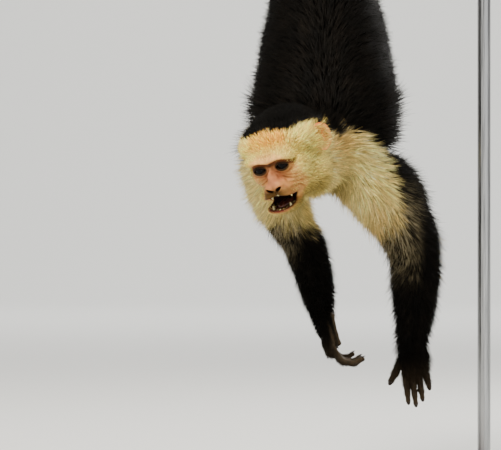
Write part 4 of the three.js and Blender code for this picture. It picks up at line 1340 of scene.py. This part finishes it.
def cut_wood_material():
    m = Shader("cut_wood", 0.7)
    heart = (0, -PLUMB[1] * MM, -PERCH["z"] * MM)
    place = m.add("ShaderNodeMapping", Vector=m.place, Location=heart).outputs["Vector"]
    rings = m.add("ShaderNodeTexWave", Vector=place, Scale=110.0, Distortion=1.6, Detail=2.0)
    rings.wave_type, rings.rings_direction = "RINGS", "X"
    tone = m.ramp(rings.outputs["Fac"], [(0.2, tint(168, 128, 82)), (0.9, tint(208, 174, 122))])
    m.colour(m.blend(0.3, tone, m.ramp(m.noise(500), [(0.3, 0.5), (0.7, 1.0)]), "MULTIPLY"))
    m.roughness(m.noise(200), 0.62, 0.8)
    m.bump(rings.outputs["Fac"], 0.3, 0.0005)
    return m.material


def stand_wood_material(light):
    m = Shader("stained_base_wood", 0.4, Coat_Weight=0.25)
    grain = m.noise(26, 5, (0.16, 1.5, 1.5), 0.6)
    tone = m.ramp(grain, [(0.3, tint(46, 29, 19)), (0.7, light)])
    pores = m.ramp(m.noise(240, 4, (0.05, 1, 1)), [(0.35, 0.5), (0.65, 1.1)])
    m.colour(m.blend(0.35, tone, pores, "MULTIPLY"))
    m.roughness(m.noise(40), 0.32, 0.48)
    m.bump(m.noise(260, 4, (0.06, 1, 1)), 0.25, 0.0004)
    return m.material


def steel_material():
    m = Shader("brushed_steel", 0.32, Metallic=1.0)
    brushed = m.noise(900, 3, (1, 1, 0.02))
    m.colour(m.ramp(brushed, [(0.3, tint(150, 152, 155)), (0.7, tint(192, 194, 196))]))
    m.roughness(brushed, 0.26, 0.42)
    m.bump(brushed, 0.12, 0.0001)
    return m.material


# ---------------------------------------------------------------- making pieces
def select_only(*pieces):
    """Selects these pieces and nothing else. The first one becomes the active one."""
    bpy.ops.object.select_all(action="DESELECT")
    for piece in pieces:
        piece.select_set(True)
    if pieces:
        bpy.context.view_layer.objects.active = pieces[0]


def hang(piece, nodes):
    """Hangs a piece on the model and hides the CAD nodes that it stands for."""
    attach(piece, "root")
    if nodes:
        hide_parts(*nodes)


def place_mesh(name, mesh, material, nodes=()):
    """Hangs a finished mesh on the model."""
    piece = bpy.data.objects.new(name, mesh)
    bpy.context.scene.collection.objects.link(piece)
    mesh.materials.append(material)
    hang(piece, nodes)
    return piece


def finish_piece(piece, name, material, nodes=()):
    """Names a modelled piece, lays its place into its mesh and hangs it on the model."""
    select_only(piece)
    bpy.ops.object.transform_apply(location=True, rotation=True, scale=True)
    piece.name = piece.data.name = name
    if material is not None:
        piece.data.materials.clear()
        piece.data.materials.append(material)
    hang(piece, nodes)


def join(pieces):
    select_only(*pieces)
    bpy.ops.object.join()
    return bpy.context.active_object


def vertex_places(mesh):
    places = np.empty(len(mesh.vertices) * 3)
    mesh.vertices.foreach_get("co", places)
    return places.reshape(-1, 3)


def set_vertex_places(mesh, places):
    mesh.vertices.foreach_set("co", np.asarray(places, np.float32).ravel())
    mesh.update()


def shaped_ball(at, axes, size, shape, segments, rings):
    """A ball that shape() bends, of this size along the axes, at a place in the animal's frame."""
    select_only()
    bpy.ops.mesh.primitive_uv_sphere_add(segments=segments, ring_count=rings, radius=1.0)
    piece = bpy.context.active_object
    q = shape(vertex_places(piece.data)) * np.asarray(size, float)
    set_vertex_places(piece.data, world(np.asarray(at, float) + q @ np.asarray(axes)))
    bpy.ops.object.shade_smooth()
    return piece


SKIN = {}


def bare_skin():
    """The skin's places, quads and outward slopes, worked out once."""
    if not SKIN:
        points, quads = skin_mesh()
        points = settle(points)
        SKIN.update(points=points, quads=quads, slope=unit(field_slope(points)))
    return SKIN["points"], SKIN["quads"], SKIN["slope"]


SKIN_NODES = ["head", "jaw", "ear_left", "ear_right", "neck", "chest", "belly", "hips"]
SKIN_NODES += [f"{part}_{side}" for side in ("left", "right")
               for part in ("upper_arm", "forearm", "hand", "thigh", "shank", "foot")]
SKIN_NODES += [f"tail_{i}" for i in range(1, 6)]
FACE_BACK = -36  # the fine skin of the face reaches back to here


def make_skin(settings):
    """The skin of the whole animal in one piece, fine on the face and the hands."""
    points, quads, slope = bare_skin()
    mesh = bpy.data.meshes.new("skin")
    mesh.from_pydata(world(points).tolist(), [], quads.tolist())
    paint(mesh, np.clip(skin_colour(points, slope, settings), 0, 1))
    piece = place_mesh("skin", mesh, skin_material(), SKIN_NODES)
    # the coat hides the fine mesh of the body, so it is thinned away from the face and hands
    home = nearest_part(points)
    keep = (on(home, "head") & (to_head(points)[:, 0] > FACE_BACK)) | on(home, *HANDS)
    group = piece.vertex_groups.new(name="thin")
    group.add(np.flatnonzero(~keep).tolist(), 1.0, "REPLACE")
    select_only(piece)
    thin = piece.modifiers.new("thin", "DECIMATE")
    kept = keep[quads].all(axis=1).sum()
    thin.ratio = min(1.0, (settings.skin_faces - 2 * kept) / (2 * (len(quads) - kept)) * 0.5 + 0.1)
    thin.vertex_group = "thin"
    bpy.ops.object.modifier_apply(modifier="thin")
    piece.vertex_groups.clear()
    bpy.ops.object.shade_smooth()


COAT_PIECES = {
    "coat_head": ("cream_coat", ["head"]),
    "coat_neck_arms": ("cream_coat", ["neck", "arm_left", "arm_right"]),
    "coat_trunk": ("black_coat", ["trunk"]),
    "coat_legs": ("black_coat", ["leg_left", "leg_right"]),
    "coat_tail": ("black_coat", ["tail"]),
    "coat_hands_feet": ("black_coat", ["hand_left", "hand_right", "foot_left", "foot_right"]),
}
PIECE_LIMIT = 190000  # triangles


def make_coat(settings):
    """The tufts, in pieces by the part of the body and by their kind."""
    points, quads, slope = bare_skin()
    tufts = Tufts(points, quads, slope, settings)
    material = coat_material()
    for name, (slot, parts) in COAT_PIECES.items():
        own = on(tufts.home, *parts)
        for word, kind, mask in (("", LONG_TUFT, tufts.long), ("_short", SHORT_TUFT, ~tufts.long)):
            pick = np.flatnonzero(own & mask)
            if not pick.size:
                continue
            order = pick[np.argsort(tufts.root[pick, 2])]
            triangles = sum(len(face) - 2 for face in kind["faces"])
            pieces = int(np.ceil(len(order) * triangles / PIECE_LIMIT))
            for k, group in enumerate(np.array_split(order, pieces)):
                label = f"{name}{word}" + (f"_{k + 1}" if pieces > 1 else "")
                place_mesh(label, tuft_mesh(tufts, group, kind, label), material)


PUPIL = tint(4, 3, 3)
# Rings of the eye, outwards from the pupil: the angles from the gaze between which each one
# fades in, and its colour.
EYE_RINGS = [(20, 27, tint(22, 12, 7)), (33, 39, tint(14, 8, 6)), (50, 62, tint(40, 28, 22))]


def make_eyes():
    """Both eyeballs, with a dark iris and a bulging front."""
    for side, mirror in (("left", 1), ("right", -1)):
        at = from_head(np.array(EYE["at"]) * [1, mirror, 1])
        gaze = HEAD_AXES[0] * 0.985 + HEAD_AXES[1] * mirror * 0.04 - HEAD_AXES[2] * 0.06

        def cornea(q):
            front = smoothstep(q @ (HEAD_AXES @ unit(gaze)), 0.72, 1.0)
            return q * (1 + 0.07 * front)[:, None]

        piece = shaped_ball(at, HEAD_AXES, [EYE["radius"]] * 3, cornea, 40, 28)
        q = unit(vertex_places(piece.data) / MM - PLUMB - at) @ unit(gaze)
        angle = np.degrees(np.arccos(np.clip(q, -1, 1)))
        colours = np.tile(PUPIL, (len(angle), 1))
        for low, high, colour in EYE_RINGS:
            colours = mix(colours, colour, smoothstep(angle, low, high))
        paint(piece.data, colours)
        finish_piece(piece, f"eyeball_{side}", eye_material(), [f"eye_{side}"])


def tooth_shape(point):
    def shape(q):
        t = q[:, 2] * 0.5 + 0.5
        wide = 1 - (1 - t) ** 1.6 * point
        return np.column_stack([q[:, 0] * wide, q[:, 1] * wide, q[:, 2]])
    return shape


def make_mouth():
    """The teeth that show from the open mouth, and the tongue."""
    for word, table, way in (("upper", UPPER_TEETH, -1), ("lower", LOWER_TEETH, 1)):
        teeth = []
        slide = JAW_SLIDE["by"] if way > 0 else 0
        axes = np.array([HEAD_AXES[0], HEAD_AXES[1], -HEAD_AXES[2] * way])
        for f, s, u, radius, length in table:
            shape = tooth_shape(0.75 if length > 6 else 0.3)  # the eye teeth are the long ones
            high = length * 0.5 + 1.2
            for mirror in (1, -1):
                at = from_head([f, s * mirror - slide, u + way * (length - high)])
                teeth.append(shaped_ball(at, axes, [radius, radius * 1.06, high], shape, 14, 10))
        piece = join(teeth)
        if way > 0:  # their axes turn them inside out
            bpy.ops.object.mode_set(mode="EDIT")
            bpy.ops.mesh.select_all(action="SELECT")
            bpy.ops.mesh.normals_make_consistent(inside=False)
            bpy.ops.object.mode_set(mode="OBJECT")
        finish_piece(piece, f"teeth_{word}", ivory_material())

    def lap(q):
        groove = np.exp(-((q[:, 1] / 0.16) ** 2)) * 0.22 * (q[:, 2] > 0)
        up = q[:, 2] - groove + 0.25 * q[:, 0] ** 2
        return np.column_stack([q[:, 0], q[:, 1] * (1 - 0.18 * q[:, 0]), up])

    tongue = shaped_ball(from_head(TONGUE["at"]), HEAD_AXES, TONGUE["size"], lap, 28, 18)
    finish_piece(tongue, "tongue_tip", tongue_material(), ["tongue"])


def nail_shape(q):
    """A nail is a shallow shell that is flat below and comes to a blunt point."""
    x, y, z = q.T
    tip = 1 - 0.35 * smoothstep(x, 0.1, 1)
    return np.column_stack([x, y * tip, np.where(z > 0, z, z * 0.3) - 0.35 * x * np.abs(x)])


def make_nails():
    """The nails of all fingers and toes, in one piece."""
    spots = []  # place, way, outward side and radius of each nail
    for hand in HANDS.values():
        palm = hand_frame(hand)[2]
        for rows, axis, way in hand_digits(hand):
            radius = rows[-1][3]
            back = unit(np.cross(way, axis))
            back = back * -np.sign(back @ palm)
            at = np.array(rows[-1][:3]) + way * radius * 0.5 + back * radius * 0.62
            spots.append((at, way, back, radius * 0.86))
    for mirror in (1, -1):
        for rows in foot_rows(mirror)[1:]:
            way = unit(rows[-1, :3] - rows[-2, :3])
            out = unit(rows[-1, :3] - np.array([rows[-1, 0], PERCH["y"], PERCH["z"]]))
            radius = rows[-1, 3] * 1.2
            spots.append((rows[-1, :3] + way * radius * 0.4 + out * radius * 0.6, way, out, radius * 0.9))
    nails = []
    for at, way, back, radius in spots:
        axes = np.array([way, np.cross(back, way), back])
        nails.append(shaped_ball(at, axes, [radius * 1.2, radius * 0.9, radius * 0.45], nail_shape, 12, 8))
    finish_piece(join(nails), "nails", nail_material())


KNOTS = ((-92, 2.2), (108, 0.5), (132, 2.8), (172, 1.2))  # place along the branch and around it


def make_branch():
    """A length of branch with ridged bark, small knots and sawn ends."""
    select_only()
    length = PERCH["right"] - PERCH["left"]
    bpy.ops.mesh.primitive_cylinder_add(vertices=72, radius=1.0, depth=1.0, end_fill_type="NOTHING")
    piece = bpy.context.active_object
    mesh = piece.data
    bm = bmesh.new()
    bm.from_mesh(mesh)
    upright = [e for e in bm.edges if abs(e.verts[0].co.z - e.verts[1].co.z) > 0.5]
    bmesh.ops.subdivide_edges(bm, edges=upright, cuts=150, use_grid_fill=True)
    for end in (-1, 1):
        rim = [e for e in bm.edges if all(abs(v.co.z - 0.5 * end) < 1e-5 for v in e.verts)]
        for scale in (0.94, 0.6, 0.25):
            made = bmesh.ops.extrude_edge_only(bm, edges=rim)["geom"]
            for v in (g for g in made if isinstance(g, bmesh.types.BMVert)):
                v.co.xy = v.co.xy.normalized() * scale
            rim = [g for g in made if isinstance(g, bmesh.types.BMEdge)
                   and all(abs(v.co.xy.length - scale) < 1e-4 for v in g.verts)]
        bmesh.ops.contextual_create(bm, geom=rim)
    bmesh.ops.recalc_face_normals(bm, faces=bm.faces)
    bm.to_mesh(mesh)
    bm.free()
    q = vertex_places(mesh)
    t = q[:, 2] + 0.5
    around = np.arctan2(q[:, 1], q[:, 0])
    rim = np.hypot(q[:, 0], q[:, 1])
    x = PERCH["left"] + length * t
    swell = 1.6 * (np.sin(t * 9) * 0.4 - 0.6)
    line = np.column_stack([x * 0.22, np.cos(around) * PERCH["radius"], np.sin(around) * PERCH["radius"]])
    ridges = ripple(line, 7, 41) * 0.45 + ripple(line, 3.2, 42) * 0.28
    knots = sum(1.5 * np.exp(-(((x - kx) / 9) ** 2 + (np.angle(np.exp(1j * (around - ka))) / 0.4) ** 2))
                for kx, ka in KNOTS)
    radius = PERCH["radius"] + swell + np.minimum(ridges + knots, 1.6) - 0.5
    end = (t < 1e-4) | (t > 1 - 1e-4)
    radius = radius - 1.1 * (end & (rim > 0.99))
    out = radius * rim
    places = np.column_stack([x, PERCH["y"] + np.cos(around) * out, PERCH["z"] + np.sin(around) * out])
    set_vertex_places(mesh, world(places))
    mesh.materials.append(bark_material())
    mesh.materials.append(cut_wood_material())
    ends = [world([PERCH[side], 0, 0])[0] for side in ("left", "right")]
    for face in mesh.polygons:
        at_end = min(abs(face.center.x - x) for x in ends) < 1 * MM
        face.material_index = int(at_end and abs(face.normal.x) > 0.8)
    bpy.ops.object.shade_smooth_by_angle(angle=math.radians(40))
    finish_piece(piece, "branch", None, ["perch"])


def dress_stand(settings):
    """Gives the stand's own solids their wood and steel."""
    wood, steel = stand_wood_material(np.array(settings.wood)), steel_material()
    for name, material in (("stand_base", wood), ("stand_rod", steel), ("stand_collar", steel)):
        for slot in frame["nodes"][name].material_slots:
            slot.material = material


# ---------------------------------------------------------------- the studio
def plain_material(name, colour, roughness):
    m = Shader(name, roughness)
    m.colour(m.ramp(m.noise(3.0, 2), [(0.0, colour * 0.985), (1.0, colour)]))
    m.bump(m.noise(700, 2), 0.05, 0.0002)
    return m.material


# The paper lies flat from front to back, curves up and stands as high as its top, in metres.
PAPER = {"front": -9.0, "back": 7.0, "curve": 2.0, "top": 7.0, "half": 10}
SUBJECT = (-0.05, -0.05, 0.35)
# Name, place, what it points at, size, watts and colour of each lamp.
LAMPS = [
    ("key_light", (-0.9, -1.9, 2.5), SUBJECT, 1.0, 171, (1.0, 0.95, 0.87)),
    ("fill_light", (2.2, -1.8, 1.2), SUBJECT, 2.0, 24, (1.0, 0.98, 0.94)),
    ("rim_light", (0.9, 1.3, 1.7), SUBJECT, 1.0, 39, (1.0, 0.98, 0.94)),
    ("wall_light", (0, 5.2, 4.2), (0, 9, 0.9), 3.0, 120, (1, 1, 1)),
    ("floor_light", (0, 5.0, 4.2), (0, 5.4, 0), 4.0, 165, (1, 1, 1)),
]
AIR = {"colour": (0.96, 0.95, 0.93, 1), "strength": 0.36}
CAMERA = {"at": (-0.1105, -2.99, 0.262), "sensor": 36.0, "far": 50}


def make_paper():
    """A plain pale floor that sweeps up into a backdrop."""
    select_only()
    bpy.ops.mesh.primitive_plane_add(size=1.0)
    paper = bpy.context.active_object
    bm = bmesh.new()
    back, curve, half = PAPER["back"], PAPER["curve"], PAPER["half"]
    rows = [(PAPER["front"], 0.0), (back, 0.0)]
    for turn in np.linspace(0.1, math.pi / 2, 14):
        rows.append((back + curve * math.sin(turn), curve - curve * math.cos(turn)))
    rows.append((back + curve, PAPER["top"]))
    left, right = ([bm.verts.new((x, y, z)) for y, z in rows] for x in (-half, half))
    for i in range(len(rows) - 1):
        bm.faces.new((left[i], right[i], right[i + 1], left[i + 1]))
    bm.to_mesh(paper.data)
    bm.free()
    paper.data.materials.append(plain_material("studio_paper", tint(232, 232, 228), 0.9))
    bpy.ops.object.shade_smooth()
    paper.name = paper.data.name = "studio_floor"


def make_stage(settings):
    """The studio around the model: floor, lamps, air and camera."""
    make_paper()
    scene = bpy.context.scene
    for name, at, to, size, watts, colour in LAMPS:
        light = bpy.data.lights.new(name, "AREA")
        light.size, light.energy, light.color = size, watts * settings.light, colour
        lamp = bpy.data.objects.new(name, light)
        lamp.location = at
        lamp.rotation_euler = (Vector(to) - Vector(at)).to_track_quat("-Z", "Y").to_euler()
        scene.collection.objects.link(lamp)

    air = bpy.data.worlds.new("studio_air")
    air.use_nodes = True
    air.node_tree.nodes["Background"].inputs["Color"].default_value = AIR["colour"]
    air.node_tree.nodes["Background"].inputs["Strength"].default_value = AIR["strength"]
    scene.world = air

    camera = bpy.data.cameras.new("camera")
    camera.sensor_width, camera.lens, camera.clip_end = CAMERA["sensor"], settings.lens, CAMERA["far"]
    eye = bpy.data.objects.new("camera", camera)
    eye.location = CAMERA["at"]
    eye.rotation_euler = (math.pi / 2, 0, 0)
    scene.collection.objects.link(eye)
    scene.camera = eye


# ---------------------------------------------------------------- settings, operators and panel
def colour_setting(name, description, default):
    """A colour of the monkey that a user may change, as linear light."""
    return bpy.props.FloatVectorProperty(
        name=name, description=description, default=tuple(default), size=3, min=0, max=1, subtype="COLOR")


class CapuchinSettings(bpy.types.PropertyGroup):
    """What a user would change on the monkey."""

    cream: colour_setting("Cream coat", "Colour of the head, the shoulders and the upper arms", CREAM)
    black: colour_setting("Black coat", "Colour of the cap, the back, the legs and the tail", BLACK)
    hands: colour_setting("Hands and feet", "Colour of the bare skin of hands and feet", HAND_SKIN)
    wood: colour_setting("Base wood", "Lighter colour of the base's stained wood", BASE_WOOD)
    fullness: bpy.props.FloatProperty(
        name="Coat fullness", description="How thickly the tufts grow",
        default=1.0, min=0.1, max=1.2, subtype="FACTOR")
    length: bpy.props.FloatProperty(
        name="Coat length", description="Length of the tufts against the usual",
        default=1.0, min=0.5, max=1.1, subtype="FACTOR")
    skin_faces: bpy.props.IntProperty(
        name="Skin triangles", description="How many triangles the skin may have",
        default=180000, min=50000, max=195000)
    light: bpy.props.FloatProperty(
        name="Studio light", description="Strength of the studio lamps",
        default=1.0, min=0.1, max=4.0, subtype="FACTOR")
    lens: bpy.props.FloatProperty(
        name="Lens", description="Focal length of the camera",
        default=215.57, min=20, max=400, unit="CAMERA")


def settings_of(context):
    return context.scene.capuchin


class CAPUCHIN_OT_stage(bpy.types.Operator):
    """Sets up the studio floor, lamps and camera"""

    bl_idname = "capuchin.stage"
    bl_label = "Studio"
    bl_options = {"REGISTER", "UNDO"}

    def execute(self, context):
        make_stage(settings_of(context))
        return {"FINISHED"}


class CAPUCHIN_OT_skin(bpy.types.Operator):
    """Makes the one skin of the whole animal"""

    bl_idname = "capuchin.skin"
    bl_label = "Skin"
    bl_options = {"REGISTER", "UNDO"}

    def execute(self, context):
        make_skin(settings_of(context))
        return {"FINISHED"}


class CAPUCHIN_OT_coat(bpy.types.Operator):
    """Makes the tufts of the coat over the skin"""

    bl_idname = "capuchin.coat"
    bl_label = "Coat"
    bl_options = {"REGISTER", "UNDO"}

    def execute(self, context):
        make_coat(settings_of(context))
        return {"FINISHED"}


class CAPUCHIN_OT_eyes(bpy.types.Operator):
    """Makes both eyeballs"""

    bl_idname = "capuchin.eyes"
    bl_label = "Eyes"
    bl_options = {"REGISTER", "UNDO"}

    def execute(self, context):
        make_eyes()
        return {"FINISHED"}


class CAPUCHIN_OT_mouth(bpy.types.Operator):
    """Makes the teeth and the tongue"""

    bl_idname = "capuchin.mouth"
    bl_label = "Teeth and tongue"
    bl_options = {"REGISTER", "UNDO"}

    def execute(self, context):
        make_mouth()
        return {"FINISHED"}


class CAPUCHIN_OT_nails(bpy.types.Operator):
    """Makes the nails of the fingers and toes"""

    bl_idname = "capuchin.nails"
    bl_label = "Nails"
    bl_options = {"REGISTER", "UNDO"}

    def execute(self, context):
        make_nails()
        return {"FINISHED"}


class CAPUCHIN_OT_branch(bpy.types.Operator):
    """Makes the branch that the feet and the tail grip"""

    bl_idname = "capuchin.branch"
    bl_label = "Branch"
    bl_options = {"REGISTER", "UNDO"}

    def execute(self, context):
        make_branch()
        return {"FINISHED"}


class CAPUCHIN_OT_stand(bpy.types.Operator):
    """Finishes the display stand in stained wood and brushed steel"""

    bl_idname = "capuchin.stand"
    bl_label = "Stand"
    bl_options = {"REGISTER", "UNDO"}

    def execute(self, context):
        dress_stand(settings_of(context))
        return {"FINISHED"}


OPERATORS = (
    CAPUCHIN_OT_stage,
    CAPUCHIN_OT_skin,
    CAPUCHIN_OT_coat,
    CAPUCHIN_OT_eyes,
    CAPUCHIN_OT_mouth,
    CAPUCHIN_OT_nails,
    CAPUCHIN_OT_branch,
    CAPUCHIN_OT_stand,
)


class CAPUCHIN_PT_panel(bpy.types.Panel):
    """Lists the monkey's settings and makers"""

    bl_idname = "CAPUCHIN_PT_panel"
    bl_label = "Capuchin monkey"
    bl_space_type = "VIEW_3D"
    bl_region_type = "UI"
    bl_category = "Capuchin"

    def draw(self, context):
        for name in CapuchinSettings.__annotations__:
            self.layout.prop(settings_of(context), name)
        for operator in OPERATORS:
            self.layout.operator(operator.bl_idname)


CLASSES = (CapuchinSettings, *OPERATORS, CAPUCHIN_PT_panel)


def register():
    for cls in CLASSES:
        bpy.utils.register_class(cls)
    bpy.types.Scene.capuchin = bpy.props.PointerProperty(type=CapuchinSettings)


def unregister():
    del bpy.types.Scene.capuchin
    for cls in reversed(CLASSES):
        bpy.utils.unregister_class(cls)


def main():
    register()
    for operator in OPERATORS:
        group, name = operator.bl_idname.split(".")
        getattr(getattr(bpy.ops, group), name)()


if __name__ == "__main__":
    main()
